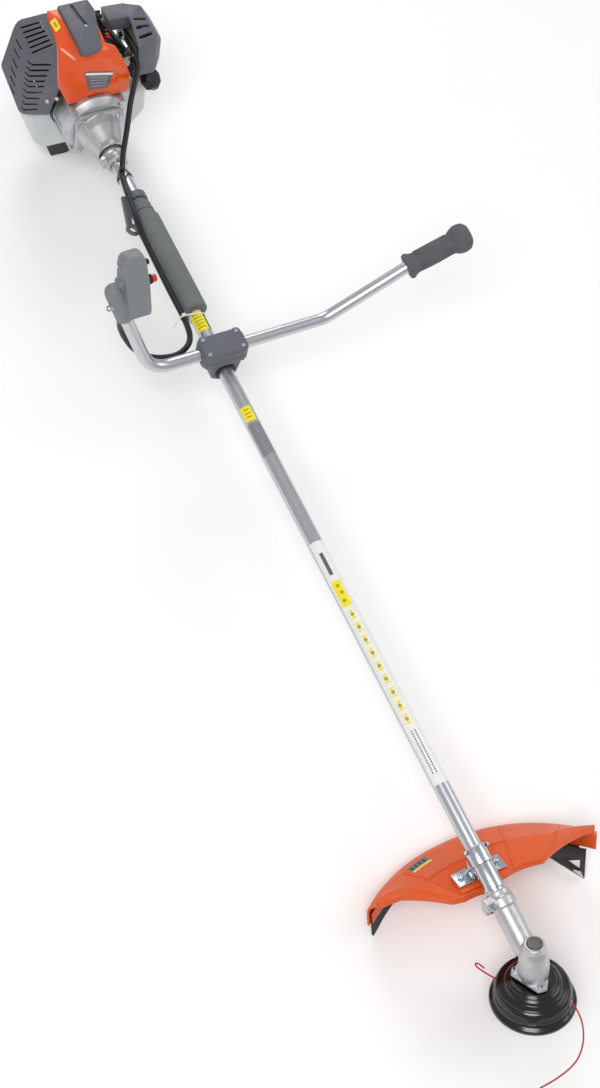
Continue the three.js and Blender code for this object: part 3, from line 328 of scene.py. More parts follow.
def rounded(profile, radius, steps=4):
    """The same profile with its inner corners rounded."""
    out = [profile[0]]
    for a, b, c in zip(profile, profile[1:], profile[2:]):
        a, b, c = (Vector(p) for p in (a, b, c))
        cut = min(radius, (a - b).length * 0.45, (c - b).length * 0.45)
        start = b + (a - b).normalized() * cut if (a - b).length > 1e-9 else b
        end = b + (c - b).normalized() * cut if (c - b).length > 1e-9 else b
        for k in range(steps + 1):
            t = k / steps
            out.append(tuple(start * (1 - t) ** 2 + b * 2 * t * (1 - t) + end * t ** 2))
    out.append(profile[-1])
    return out


def turned(name, place, axis, profile, radius, steps, material, sides, sharp=35):
    """Lathe of a profile with its inner corners rounded to the radius."""
    return lathe(name, place, axis, rounded(profile, radius, steps), material, sides, sharp)


def rod(name, place, axis, radius, start, end, material, sides):
    """Plain round bar; its size and ends along the axis are in millimetres."""
    return lathe(name, place, axis, [(0, start), (radius, start), (radius, end), (0, end)], material, sides)


def disc(name, place, axis, radius, start, end, edge, steps, material, sides, sharp=35):
    """Round bar with rounded edges."""
    profile = [(0, start), (radius, start), (radius, end), (0, end)]
    return turned(name, place, axis, profile, edge, steps, material, sides, sharp)


def ring(name, place, axis, inner, outer, start, end, edge, steps, material, sides, sharp=35):
    """Round tube with rounded edges."""
    profile = [(inner, start), (outer, start), (outer, end), (inner, end), (inner, start)]
    return turned(name, place, axis, profile, edge, steps, material, sides, sharp)


def smooth_path(points, steps):
    """Catmull-Rom curve through the points."""
    points = [Vector(p) for p in points]
    ends = [points[0] * 2 - points[1], *points, points[-1] * 2 - points[-2]]
    out = []
    for i in range(1, len(ends) - 2):
        for k in range(steps):
            t = k / steps
            p0, p1, p2, p3 = ends[i - 1:i + 3]
            out.append(0.5 * ((2 * p1) + (p2 - p0) * t + (2 * p0 - 5 * p1 + 4 * p2 - p3) * t * t
                + (3 * p1 - p0 - 3 * p2 + p3) * t ** 3))
    out.append(points[-1])
    return out


def bent_path(corners, radius, steps=12):
    """Straight runs joined by arcs of the given radius in metres."""
    corners = [Vector(p) for p in corners]
    out = [corners[0]]
    for a, b, c in zip(corners, corners[1:], corners[2:]):
        into, away = (b - a).normalized(), (c - b).normalized()
        half = into.angle(away) / 2
        reach = min(radius * math.tan(half), (b - a).length * 0.48, (c - b).length * 0.48)
        start, end = b - into * reach, b + away * reach
        for k in range(steps + 1):
            t = k / steps
            out.append(start * (1 - t) ** 2 + b * 2 * t * (1 - t) + end * t ** 2)
    out.append(corners[-1])
    return out


def tube(name, path, radius, material, sides=24):
    """Round tube in metres along a path; its section is carried along without twist."""
    path = [Vector(p) for p in path]
    tangents = [(path[min(i + 1, len(path) - 1)] - path[max(i - 1, 0)]).normalized()
        for i in range(len(path))]
    side, _ = basis(tangents[0])
    points, faces = [], []
    for i, (place, tangent) in enumerate(zip(path, tangents)):
        side = (side - tangent * side.dot(tangent)).normalized()
        other = tangent.cross(side)
        for k in range(sides):
            turn = 2 * math.pi * k / sides
            points.append(place + (side * math.cos(turn) + other * math.sin(turn)) * radius)
        if i:
            for k in range(sides):
                m = (k + 1) % sides
                faces.append(((i - 1) * sides + k, (i - 1) * sides + m, i * sides + m, i * sides + k))
    faces += [tuple(range(sides)), tuple(range((len(path) - 1) * sides, len(path) * sides))]
    return add_mesh(name, points, faces, material, 50)


def hull(name, points, material, round_off=0.0, segments=3):
    """Convex block through the points in metres, with its edges rounded."""
    work = bmesh.new()
    for p in points:
        work.verts.new(p)
    bmesh.ops.convex_hull(work, input=work.verts)
    loose = [v for v in work.verts if not v.link_faces]
    bmesh.ops.delete(work, geom=loose, context="VERTS")
    bmesh.ops.dissolve_limit(work, angle_limit=math.radians(1.5), verts=work.verts, edges=work.edges)
    if round_off:
        bmesh.ops.bevel(work, geom=work.edges[:] + work.verts[:], offset=round_off, segments=segments,
            profile=0.5, affect="EDGES", clamp_overlap=True)
    mesh = bpy.data.meshes.new(name)
    work.to_mesh(mesh)
    work.free()
    mesh.materials.append(bpy.data.materials[material])
    made = bpy.data.objects.new(name, mesh)
    bpy.context.collection.objects.link(made)
    shade(made, 40)
    return made


def block(name, place, x0, x1, y0, y1, z0, z1, material, round_off=0.0, segments=3):
    """Box between millimetre limits in one of the frames E, H, B or C."""
    corners = [place(x, y, z) for x in (x0, x1) for y in (y0, y1) for z in (z0, z1)]
    return hull(name, corners, material, round_off, segments)


def baked(made):
    """Applies the modifiers."""
    graph = bpy.context.evaluated_depsgraph_get()
    mesh = bpy.data.meshes.new_from_object(made.evaluated_get(graph))
    made.modifiers.clear()
    made.data = mesh
    return made


def combine(made, others, operation):
    """Boolean with every other object in turn; the others are used up."""
    for other in others:
        modifier = made.modifiers.new("cut", "BOOLEAN")
        modifier.operation = operation
        modifier.solver = "EXACT"
        modifier.object = other
        baked(made)
        bpy.data.objects.remove(other)
    return made


def carve(made, *cutters):
    return combine(made, cutters, "DIFFERENCE")


def weld(made, *others):
    return combine(made, others, "UNION")


def gather(name, parts):
    """One object from several, keeping each one's materials."""
    work = bmesh.new()
    materials = []
    for part in parts:
        start = len(work.faces)
        work.from_mesh(part.data)
        work.faces.ensure_lookup_table()
        slots = list(part.data.materials)
        for face in work.faces[start:]:
            wanted = slots[min(face.material_index, len(slots) - 1)]
            if wanted not in materials:
                materials.append(wanted)
            face.material_index = materials.index(wanted)
    mesh = bpy.data.meshes.new(name)
    work.to_mesh(mesh)
    work.free()
    for m in materials:
        mesh.materials.append(m)
    for part in parts:
        bpy.data.objects.remove(part)
    made = bpy.data.objects.new(name, mesh)
    bpy.context.collection.objects.link(made)
    return made


def soften(made, voxel, rounds=4):
    """Melts the pieces of a solid together and rounds its edges."""
    remesh = made.modifiers.new("remesh", "REMESH")
    remesh.mode = "VOXEL"
    remesh.voxel_size = voxel
    remesh.use_smooth_shade = True
    smooth = made.modifiers.new("smooth", "SMOOTH")
    smooth.iterations = rounds
    smooth.factor = 0.5
    baked(made)
    shade(made, 180)
    return made


def place_on(made, body, replaced=()):
    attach(made, body)
    if replaced:
        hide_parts(*replaced)


def assemble(name, parts, node=None, body="chassis"):
    """Joins the parts into one piece that rides on a body and may stand for a CAD node."""
    place_on(gather(name, parts), body, [node] if node else ())


def dress(node, material):
    """Gives a CAD piece its finish."""
    piece = frame["nodes"][node]
    piece.data.materials.clear()
    piece.data.materials.append(bpy.data.materials[material])
    return piece


def bevelled(node, material, width):
    """A CAD piece with its own finish and slightly rounded edges."""
    piece = dress(node, material)
    modifier = piece.modifiers.new("edges", "BEVEL")
    modifier.width = width
    modifier.segments = 2
    modifier.limit_method = "ANGLE"
    modifier.angle_limit = math.radians(35)
    modifier.harden_normals = True
    for face in piece.data.polygons:
        face.use_smooth = True


def screw(name, place, axis, radius, height, socket=True):
    """Socket-head screw with its head's foot at place; radius and height in millimetres."""
    axis = Vector(axis).normalized()
    profile = [(0, -0.5), (radius, -0.5), (radius, height * 0.8), (radius * 0.85, height),
        (radius * 0.55, height)]
    profile += [(radius * 0.5, height * 0.45), (0, height * 0.45)] if socket else [(0, height)]
    return lathe(name, place, axis, profile, "zinc", 24)


# ---------------------------------------------------------------- cords
CONDUIT_R = 5
CONDUIT_ROUTE = [
    E(84, -33, 94), E(82, -52, 90), E(62, -83, 76), E(47, -106, 65), E(26, -144, 49), E(5, -180, 32),
    E(-8.4, -211, 20), E(-16, -245, 24), E(-21, -279, 26), E(-25, -315, 26), E(-27, -355, 20),
    E(-27, -450, 14), E(-27.5, -530, 14), E(-34, -562, 13), E(-49, -577, 12), E(-69, -583, 11),
    E(-94, -580, 12), E(-115, -571, 15), E(-133, -560, 28), E(-146, -552, 52), E(-155, -549, 80),
    E(-159.5, -552.5, 112), E(-160, -556, 134),
]
SHORT_TAIL = [
    H(-34, 43, -60), H(-38, 53, -60), H(-42, 63, -60), H(-46, 74, -59), H(-44, 79, -59), H(-40, 76, -60),
    H(-37, 67, -61),
]
LONG_TAIL = [
    H(34, -43, -60), H(35, -56, -62), H(31, -74, -68), H(20, -92, -74), H(4, -106, -79), H(-15, -114, -82),
    H(-42, -118, -84), H(-70, -118, -86),
]


def add_cords():
    path = smooth_path(CONDUIT_ROUTE, 10)
    conduit = tube("conduit", path, CONDUIT_R * MM, "black", 20)
    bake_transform(conduit)
    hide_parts("throttle_conduit", "throttle_conduit_end")
    for name, node, route in (("short_tail", "line_tail_short", SHORT_TAIL), ("long_tail", "line_tail_long",
            LONG_TAIL)):
        path = smooth_path(route, 8)
        tail = tube(name, path, 1.2 * MM, "line_red", 12)
        place_on(tail, "cutting_head", [node])


# ---------------------------------------------------------------- shaft
TUBE_R = 13
TUBE_BORE = 13.3


def wrapped(name, y0, y1, from_turn, to_turn, radius, material, thickness=0.12):
    """A label on the tube: y limits in millimetres, turns in degrees from up towards +X."""
    steps = max(2, int(abs(to_turn - from_turn) / 6))
    points, faces = [], []
    for lift in (0, thickness):
        for y in (y0, y1):
            for k in range(steps + 1):
                turn = math.radians(from_turn + (to_turn - from_turn) * k / steps)
                points.append(E(math.sin(turn) * (radius + lift), y, math.cos(turn) * (radius + lift)))
    row = steps + 1
    for k in range(steps):
        faces.append((2 * row + k, 2 * row + k + 1, 3 * row + k + 1, 3 * row + k))
        faces.append((k, row + k, row + k + 1, k + 1))
        faces.append((k, k + 1, 2 * row + k + 1, 2 * row + k))
        faces.append((row + k, 3 * row + k, 3 * row + k + 1, row + k + 1))
    faces.append((0, 2 * row, 3 * row, row))
    faces.append((row - 1, 2 * row - 1, 4 * row - 1, 3 * row - 1))
    return add_mesh(name, points, faces, material, 50)


def wrapped_disc(name, y, turn, size, radius, material):
    """A round mark on the tube, size in millimetres across."""
    count = 20
    points = [E(math.sin(math.radians(turn)) * radius, y, math.cos(math.radians(turn)) * radius)]
    for k in range(count):
        angle = 2 * math.pi * k / count
        across = turn + math.degrees(math.cos(angle) * size / 2 / radius)
        points.append(E(math.sin(math.radians(across)) * radius, y + math.sin(angle) * size / 2,
            math.cos(math.radians(across)) * radius))
    return add_mesh(name, points, [(0, 1 + k, 1 + (k + 1) % count) for k in range(count)], material, 60)


def add_labels():
    """Generic stickers with plain bars, dots and rules in place of any lettering or sign."""
    face = -18
    parts = []

    def patch(y0, y1, low, high, level, material):
        parts.append(wrapped("patch", y0, y1, face + low, face + high, TUBE_R + 0.05 + 0.12 * level,
            material, 0.09))

    patch(-553, -513, -58, 62, 0, "label_yellow")
    patch(-553, -513, 48, 64, 1, "label_ink")
    for k in range(5):
        patch(-547 + k * 6.5, -544.5 + k * 6.5, -34, 30, 1, "label_ochre")
    patch(-740, -712, -44, 44, 0, "label_yellow")
    for k in range(3):
        patch(-734 + k * 7, -731.5 + k * 7, -20, 20, 1, "label_ochre")
    patch(-808, -743, -52, 60, 0, "label_grey")
    for k in range(17):
        patch(-805 + k * 3.6, -803.6 + k * 3.6, -44, 50, 1, "plate_grey")
    patch(-1395, -975, -48, 78, 0, "white_label_and_highlight")
    patch(-1036, -996, -13, 13, 1, "plate_grey")
    patch(-1092, -1047, -34, 34, 1, "label_yellow")
    for y, turn in ((-1056, 0), (-1068, 6), (-1082, -4)):
        parts.append(wrapped_disc("mark", y, face + turn, 6, TUBE_R + 0.36, "label_ochre"))
    for k in range(9):
        y = -1107 - k * 22.7
        parts.append(wrapped_disc("dot", y, face, 16, TUBE_R + 0.25, "label_yellow"))
        parts.append(wrapped_disc("dot", y, face, 6, TUBE_R + 0.36, "label_ochre"))
    for k in range(18):
        for turn in (-12, 12):
            patch(-1378 + k * 4, -1375.2 + k * 4, turn - 4, turn + 4, 1, "plate_grey")
    assemble("tube_labels", parts)


def along_shaft(node):
    """Where a piece on the shaft starts, in metres, and its length in millimetres."""
    low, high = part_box(node)
    return Vector((CRANK.x, low[1], CRANK.z)), (high[1] - low[1]) / MM


def add_shaft():
    foot, length = along_shaft("main_tube")
    profile = [(11.5, 60), (11.5, 0.4), (11.9, 0), (12.6, 0), (13, 0.4), (13, length - 0.4), (12.6, length),
        (11.5, length), (11.5, length - 60)]
    place_on(lathe("shaft_tube", foot, Y_AXIS, profile, "satin", 96), "chassis", ["main_tube"])
    foot, length = along_shaft("hip_sleeve")
    profile = rounded([(13.4, 0), (22, 0), (23.5, 2.5), (23.5, length - 12), (21, length - 9),
        (20.5, length - 1), (19, length), (13.4, length)], 1.2, 4)
    sleeve = lathe("hip_sleeve_foam", foot, Y_AXIS, profile, "grey_sleeve", 96, 50)
    place_on(sleeve, "chassis", ["hip_sleeve"])
    boot = turned("sleeve_collar", E(0, -289, 0), Y_AXIS, [(13.2, 0), (20.5, 0), (20.5, 5), (18.2, 7),
        (18.2, 11), (19.6, 13), (19.6, 18), (17, 20), (16.2, 25), (13.2, 26)], 0.8, 3, "grey_sleeve", 72,
        50)
    place_on(boot, "chassis")
    dress("drive_shaft", "steel")
    dress("shaft_bush", "rubber")


def tie(name, y, circles, width, material):
    """Cable tie at y pulled tight round circles given as (x, z, radius), all in millimetres."""
    count = 96
    points, faces = [], []
    for k in range(count):
        turn = 2 * math.pi * k / count
        out = (math.cos(turn), math.sin(turn))
        x, z, radius = max(circles, key=lambda c: c[0] * out[0] + c[1] * out[1] + c[2])
        for lift, along in ((0.25, -width / 2), (1.35, -width / 2), (1.35, width / 2), (0.25, width / 2)):
            points.append(E(x + out[0] * (radius + lift), y + along, z + out[1] * (radius + lift)))
    for k in range(count):
        m = (k + 1) % count
        for j in range(4):
            n = (j + 1) % 4
            faces.append((k * 4 + j, m * 4 + j, m * 4 + n, k * 4 + n))
    return add_mesh(name, points, faces, material, 50)


def conduit_at(y):
    """Where the conduit's middle passes a place along the shaft, as (x, z) in millimetres."""
    nearest = min(smooth_path(CONDUIT_ROUTE[:14], 10), key=lambda p: abs((p - E(0, y, 0)).y))
    local = (nearest - CRANK) / MM
    return local.x, local.z


def add_ties():
    for name, y, width, material in (("cable_tie_rear", -205, 4, "black"), ("cable_tie_front", -520, 2.6,
            "tie_white")):
        x, z = conduit_at(y)
        loop = tie("tie", y, [(0, 0, TUBE_R), (x, z, CONDUIT_R)], width, material)
        head = block("tie_head", E, x - 3, x + 3, y - 2.6, y + 2.6, z + CONDUIT_R, z + CONDUIT_R + 4.5,
            material, 0.0006, 2)
        parts = [loop, head]
        if material == "tie_white":
            top = z + CONDUIT_R + 2
            tail = [E(x, y, top), E(x - 10, y - 5, top + 3), E(x - 19, y - 12, top + 2),
                E(x - 27, y - 17, top - 3)]
            parts.append(tube("tie_tail", smooth_path(tail, 6), 1.1 * MM, material, 8))
        assemble(name, parts)


def add_harness_ring():
    turn = Matrix.Rotation(math.radians(19), 3, "Y")

    def place(x, y, z):
        return CRANK + turn @ Vector((x, y, z)) * MM

    reach, eye_y = 37, -323
    eye = turned("eye", place(-reach, eye_y, 0), turn @ Z_AXIS, [(6.5, -3), (6.5, 3), (8, 3), (11.2, 3),
        (12.5, 2), (12.5, -2), (11.2, -3), (8, -3), (6.5, -3)], 0.8, 3, "grey", 64, 60)
    arm = hull("arm", [place(x, y, z) for x, y in ((-15, -248), (-27, -248), (-15, -262),
        (-reach - 8, eye_y + 9), (-reach + 3, eye_y + 11)) for z in (-3, 3)], "grey", 0.0012)
    band = ring("band", E(0, -262, 0), Y_AXIS, TUBE_BORE, 20, 0, 14, 1.2, 3, "grey", 72, 60)
    bolt = screw("bolt", place(16, -255, 0), turn @ Z_AXIS, 3.2, 7)
    assemble("harness_eye_ring", [eye, arm, band, bolt], "harness_ring")


# ---------------------------------------------------------------- handlebar
RUN = Vector((-0.276, 0.329, 0.903)).normalized()
THROTTLE_BEND = Vector((-127, 0, 0))
GRIP_BEND = Vector((189, 0, 0))
GRIP_KNEE = Vector((324, 0, 80))
GRIP_END = Vector((430, 0, 124))
BAR_R = 10.5
BAR_BORE = 10.8
BAR_BEND = 0.05


def add_bars():
    end = THROTTLE_BEND + RUN * 176
    path = bent_path([B(-1, 0, 0), B(*THROTTLE_BEND), B(*end)], BAR_BEND, 20)
    place_on(tube("throttle_bar_tube", path, BAR_R * MM, "satin", 64), "throttle_side", ["throttle_bar"])
    path = bent_path([B(1, 0, 0), B(*GRIP_BEND), B(*GRIP_KNEE), B(*GRIP_END)], BAR_BEND, 16)
    place_on(tube("grip_bar_tube", path, BAR_R * MM, "satin", 64), "grip_side", ["grip_bar"])


def studs(name, places, along, size, height, material):
    """Small raised lozenges, each at a place with an outward direction."""
    points, faces = [], []
    along = Vector(along).normalized()
    for place, out in places:
        side = along.cross(out).normalized()
        start = len(points)
        for reach in (0, 1):
            grow = size * (1 - 0.4 * reach) * MM
            lift = out * height * reach * MM
            for a, b in ((1, 0), (0, 1), (-1, 0), (0, -1)):
                points.append(place + along * a * grow * 1.3 + side * b * grow + lift)
        faces.append(tuple(start + 4 + k for k in range(4)))
        for k in range(4):
            faces.append((start + k, start + (k + 1) % 4, start + 4 + (k + 1) % 4, start + 4 + k))
    return add_mesh(name, points, faces, material, 20)


def add_grip():
    axis = (GRIP_END - GRIP_KNEE).normalized()
    profile = rounded([(10.8, 2), (20.2, 2), (21.8, 5), (21.8, 9), (18.8, 13), (17.2, 20), (18.0, 38),
        (18.4, 55), (17.7, 76), (17.4, 84), (21.8, 91), (24.3, 99), (24.5, 104), (22.6, 113), (15, 119.6),
        (0, 121)], 2.2, 4)
    grip = lathe("grip_body", B(*GRIP_KNEE), axis, profile, "grip_rubber", 96, 60)
    places = []
    for row in range(15):
        for k in range(24):
            out = across(axis, (k + (row % 2) / 2) / 24)
            if out.z >= -0.2:
                places.append((B(*GRIP_KNEE) + (axis * (24 + row * 4) + out * 17.8) * MM, out))
    ribs = studs("grip_studs", places, axis, 1.3, 0.75, "grip_rubber")
    assemble("rubber_grip_moulded", [grip, ribs], "rubber_grip", "grip_side")


def add_clamp():
    corners = [(x * sx, y * sy) for x, y in ((41, 13), (37, 20), (30, 24), (17, 24)) for sx in (-1, 1)
        for sy in (-1, 1)]
    cap = hull("cap", [B(x, y, z) for x, y in corners for z in (0.3, 12)] + [B(x * 0.87, y * 0.82, 17.6)
        for x, y in corners], "grey", 0.0022, 4)
    spots = [(x, y) for x in (-29.5, 29.5) for y in (-15, 15)]
    pad = [(0, 0), (8, 0), (8, 10.2), (7.2, 11.4), (0, 11.4)]
    pads = [turned("pad", B(x, y, 6), Z_AXIS, pad, 1, 3, "grey", 40) for x, y in spots]
    cap = carve(cap, rod("groove", B(-70, 0, 0), X_AXIS, BAR_BORE, 0, 140, "grey", 64))
    cap = soften(weld(cap, *pads), 0.0008, 4)
    bolts = [screw("bolt", B(x, y, 16.6), Z_AXIS, 3.6, 2.6) for x, y in spots]
    line = block("line", B, -19, 19, -1.2, 1.2, 16.9, 17.9, "grey", 0.0004, 2)
    assemble("clamp_cap", [cap, *bolts, line], "handle_clamp_cap")
    top = hull("base_top", [B(x, y, z) for x, y in corners for z in (-14, -0.3)], "grey", 0.0016, 3)
    saddle = hull("saddle", [B(x * s, y, z) for x, z in ((29, -12), (27, -22), (23, -46), (13, -52))
        for s in (-1, 1) for y in (-22, 22)], "grey", 0.003, 4)
    base = weld(top, saddle)
    base = carve(base, rod("shaft_bore", B(0, -60, -33), Y_AXIS, TUBE_BORE, 0, 120, "grey", 72),
        rod("groove", B(-70, 0, 0), X_AXIS, BAR_BORE, 0, 140, "grey", 64))
    base = soften(base, 0.0009, 4)
    lips = [ring("lip", B(0, y, -33), Y_AXIS, TUBE_BORE, 17.5, -2, 2, 0.7, 3, "rubber", 64)
        for y in (-23, 23)]
    assemble("clamp_base", [base, *lips], "handle_clamp_base")


def add_control():
    outline = [(-19, -20), (-24, 10), (-20, 18), (14, 20), (20, 14), (21, -6), (18, -19)]
    levels = ((0.5, 0.93), (8, 1.0), (56, 1.02), (88, 0.92), (100, 0.82), (106.5, 0.62))
    body = hull("case", [C(x * s, y * s, z) for x, y in outline for z, s in levels], "grey_case", 0.003, 4)
    from_point = THROTTLE_BEND + RUN * 116
    socket = turned("socket", B(*from_point), RUN, [(0, 0), (13.6, 0), (15, 3), (15, 52), (13, 62),
        (7, 66.5), (0, 67.5)], 3, 5, "grey_case", 64)
    web = hull("web", [C(x, y, z) for x, y in ((-28, -6), (-28, 12), (-8, -14), (-8, 16)) for z in (6, 64)],
        "grey_case", 0.003, 3)
    case = soften(weld(body, socket, web), 0.0009, 5)
    slot = block("slot", C, -6, 11.5, 1.5, 40, 34, 96, "grey_case")
    top = block("top_slot", C, 1, 40, -6.5, 6.5, 78, 94, "grey_case")
    case = carve(case, slot, top)
    screws = [screw("case_screw", C(-24.5, 0, z), CONTROL_TILT @ -X_AXIS, 2.6, 1.4) for z in (20, 88)]
    clamp = screw("socket_bolt", B(*(from_point + RUN * 34 + Vector((-13, -5, 0)))),
        Vector((-1, -0.4, -0.15)), 5.4, 8)
    boss = lathe("boss", C(18, -2, 54), CONTROL_TILT @ X_AXIS, [(6.4, 0), (8.8, 0), (8.8, 6.5), (7.6, 9.4),
        (6.4, 9.4), (6.4, 0)], "black", 6, 20)
    gland = ring("gland", C(-20, 13, -3), CONTROL_TILT @ Z_AXIS, 5.2, 7.4, 0, 7, 0.6, 3, "black", 40)
    pieces = gather("throttle_case", [case, *screws, clamp, boss, gland])
    place_on(pieces, "throttle_side", ["throttle_case_outer", "throttle_case_inner"])
    trigger = hull("trigger", [C(x, y, z) for x in (-3.8, 8.8) for y, z in ((8, 91.5), (15, 91.5), (8, 80),
        (23.5, 80), (25, 42), (32, 41), (30, 60), (20, 44))], "black", 0.0016, 4)
    place_on(trigger, "throttle_trigger", ["throttle_trigger"])
    lockout = hull("lockout", [C(x, y, z) for x, y, z in ((11.2, -4.8, 80.3), (11.2, 4.8, 80.3),
        (11.2, -4.8, 91.7), (11.2, 4.8, 91.7), (25, -4, 82), (25, 4, 82), (25.8, -4, 88), (25.8, 4, 88))],
        "black", 0.0014, 4)
    place_on(lockout, "trigger_lockout", ["trigger_lockout"])
    button = turned("button", C(11.6, -2, 54), CONTROL_TILT @ X_AXIS, [(0, 0), (3, 0), (3, 12.6),
        (5.9, 12.8), (5.9, 22), (5.2, 23.2), (0, 23.3)], 0.6, 3, "red", 48)
    place_on(button, "stop_button", ["stop_button"])


# ---------------------------------------------------------------- gear head
def toe(angle, radius):
    return math.sin(math.radians(angle)) * radius, math.cos(math.radians(angle)) * radius


def add_gear_case():
    socket = turned("socket", HEAD, Y_AXIS, [(TUBE_BORE, 18), (17.5, 18), (17.5, 82), (19.4, 84),
        (19.4, 97), (17.5, 99), (17.5, 108), (TUBE_BORE, 108), (TUBE_BORE, 64), (9.8, 60), (9.8, 18),
        (TUBE_BORE, 18)], 0.9, 3, "cast", 72)
    knuckle = turned("knuckle", HEAD, HEAD_UP, [(9.2, -27), (21, -27), (22, -10), (21, 12), (18.5, 26),
        (15.5, 33), (15.5, 40), (13.5, 41.5), (0, 41.5), (0, 12), (16.5, 12), (16.5, -20), (9.2, -20),
        (9.2, -27)], 2.2, 4, "cast", 72)
    corners = [toe(angle + turn, 31.5) for angle in (70, 190, 310) for turn in (-12, 12)]
    plate = hull("plate", [H(x, y, z) for x, y in corners for z in (-27, -21.5)], "cast", 0.0012)
    skirts = [hull("skirt", [H(x * s, y * s, z) for x, y in (toe(angle - 9, 29), toe(angle + 9, 29)) for s,
        z in ((1, -24), (0.45, -24), (0.5, 14))], "cast", 0.0014) for angle in (70, 190, 310)]
    lug = block("lug", H, -29, -10, 74, 88, 38, 60, "cast", 0.002)
    case = weld(socket, knuckle, plate, *skirts, lug)
    case = carve(case, rod("bore", HEAD, Y_AXIS, TUBE_BORE, 64, 130, "cast", 64), rod("drive", HEAD, Y_AXIS,
        9.8, 12, 70, "cast", 40), lathe("well", HEAD, HEAD_UP, [(0, -40), (9, -40), (9, -20), (16.4, -20),
        (16.4, 12), (0, 12)], "cast", 48))
    case = soften(case, 0.0009, 5)
    bolts = [screw("bolt", H(*toe(angle, 26), -21.5), HEAD_UP, 3.6, 4.5) for angle in (70, 190, 310)]
    bolts.append(screw("lug_bolt", H(-24, 73.5, 50), -HEAD_BACK, 4.2, 5))
    cap = turned("cap", H(0, 0, 40.5), HEAD_UP, [(0, 0), (11.5, 0), (11.5, 2.2), (9, 3.2), (0, 3.2)], 0.7,
        3, "steel", 48)
    nipple = disc("grease_plug", H(19, 0, 2), X_AXIS, 4.5, 0, 4.5, 0.8, 3, "zinc", 6, 20)
    assemble("gear_case_casting", [case, cap, nipple, *bolts], "gear_case")


def add_cutting_head():
    top = rounded([(5.4, -33), (16, -33), (16, -30.6), (31, -30.6), (33, -33), (39, -37), (41, -41),
        (47, -43), (52, -47), (54.6, -52), (54.6, -64), (56, -68), (60.5, -71), (61.8, -73), (61.8, -77),
        (60.8, -78.2), (50, -78.2), (50, -53), (43, -47), (9, -43), (9, -56), (5.4, -56), (5.4, -33)], 1.3,
        4)
    shell = lathe("shell", HEAD, HEAD_UP, top, "black_gloss", 128, 60)
    rings = [turned("ring", H(0, 0, z), HEAD_UP, [(r, -1), (r + 1.5, -0.8), (r + 1.5, 0.8), (r, 1),
        (r, -1)], 0.6, 3, "black_gloss", 128, 80) for r, z in ((34.5, -34.2), (48.5, -44.4), (54, -56),
        (54, -61))]
    latches = []
    for side in (0, 180):
        turn = Matrix.Rotation(math.radians(side - 36), 3, HEAD_UP)
        for low, high, out, material in ((-10, 10, 56.6, "black"), (-6, 6, 57.6, "black_gloss")):
            points = []
            for k in range(9):
                angle = math.radians(low + (high - low) * k / 8)
                for radius in (53.5, out):
                    for z in (-66.5, -51.5) if material == "black" else (-63.5, -54):
                        local = H(math.sin(angle) * radius, -math.cos(angle) * radius, z) - HEAD
                        points.append(HEAD + turn @ local)
            latches.append(hull("latch", points, material, 0.0006, 2))
    eyes = [turned("eyelet", H(x * 0.985, y * 0.985, -60), Vector(H(x, y, -60) - H(0, 0, -60)).normalized(),
        [(1.6, -3), (5, -3), (5, 1.6), (3.6, 2.6), (1.6, 2.2), (1.6, -3)], 0.6, 3, "zinc", 32) for x,
        y in ((-33.5, 42.5), (33.5, -42.5))]
    ribs = []
    for k in range(24):
        angle = 2 * math.pi * k / 24
        ribs.append(hull("rib", [H(math.cos(angle + a) * r, math.sin(angle + a) * r, z)
            for a in (-0.018, 0.018) for r, z in ((44, -44.5), (49, -46), (54.2, -52), (54.2, -55),
            (48, -50))], "black_gloss", 0.0003, 1))
    assemble("head_housing_moulded", [shell, *rings, *latches, *eyes, *ribs], "head_housing",
        "cutting_head")
    spool = turned("spool_turned", HEAD, HEAD_UP, [(9.5, -86), (46, -86), (46, -83), (28, -82), (28, -58),
        (44, -57), (44, -54.5), (9.5, -54.5), (9.5, -86)], 0.8, 2, "black", 96)
    line = turned("wound_line", HEAD, HEAD_UP, [(28.2, -81.5)] + [(r, z) for k in range(9) for r,
        z in ((35.5, -81 + k * 2.5), (34.4, -79.8 + k * 2.5))] + [(28.2, -58.6), (28.2, -81.5)], 0.5, 2,
        "line_red", 72)
    assemble("spool_and_line", [spool, line], "spool", "spool")
    knob = turned("knob", HEAD, HEAD_UP, [(0, -101), (14, -101), (22, -98.4), (26, -93.5), (27, -90),
        (27, -87), (8.8, -87), (8.8, -76), (5.7, -76), (5.7, -84), (0, -84)], 1.4, 4, "black", 96)
    fins = []
    for k in range(12):
        angle = 2 * math.pi * k / 12
        fins.append(hull("fin", [H(math.cos(angle + a) * r, math.sin(angle + a) * r, z)
            for a in (-0.05, 0.05) for r, z in ((23, -97), (26.4, -92), (27.6, -88), (22, -88))], "black",
            0.0005, 2))
    assemble("bump_knob_moulded", [knob, *fins], "bump_knob", "bump_knob")
    for node in ("output_shaft", "pinion_gear"):
        dress(node, "steel")


# ---------------------------------------------------------------- guard
GUARD_R = 252
GUARD_WALL = 3
GUARD_FRONT = [
    (-37.4, 226, 26), (-32, 205, 31), (-28, 170, 36), (-25.4, 131, 46), (-19.6, 119, 49), (0, 112,
        45), (39.7, 146, 52),
    (49.5, 197, 50), (55.4, 240, 38),
]
HEAD_TILT = math.radians(60)
AXIS_HEIGHT = HEAD.z / MM


def guard_reach(angle):
    return GUARD_R + max(0, angle) * 0.27


def ground_at(y):
    return (-AXIS_HEIGHT + y * math.cos(HEAD_TILT)) / math.sin(HEAD_TILT)


def guard_front(angle):
    for low, high in zip(GUARD_FRONT, GUARD_FRONT[1:]):
        if angle <= high[0] + 1e-6:
            share = (angle - low[0]) / (high[0] - low[0])
            return low[1] + (high[1] - low[1]) * share, low[2] + (high[2] - low[2]) * share
    return GUARD_FRONT[-1][1:]


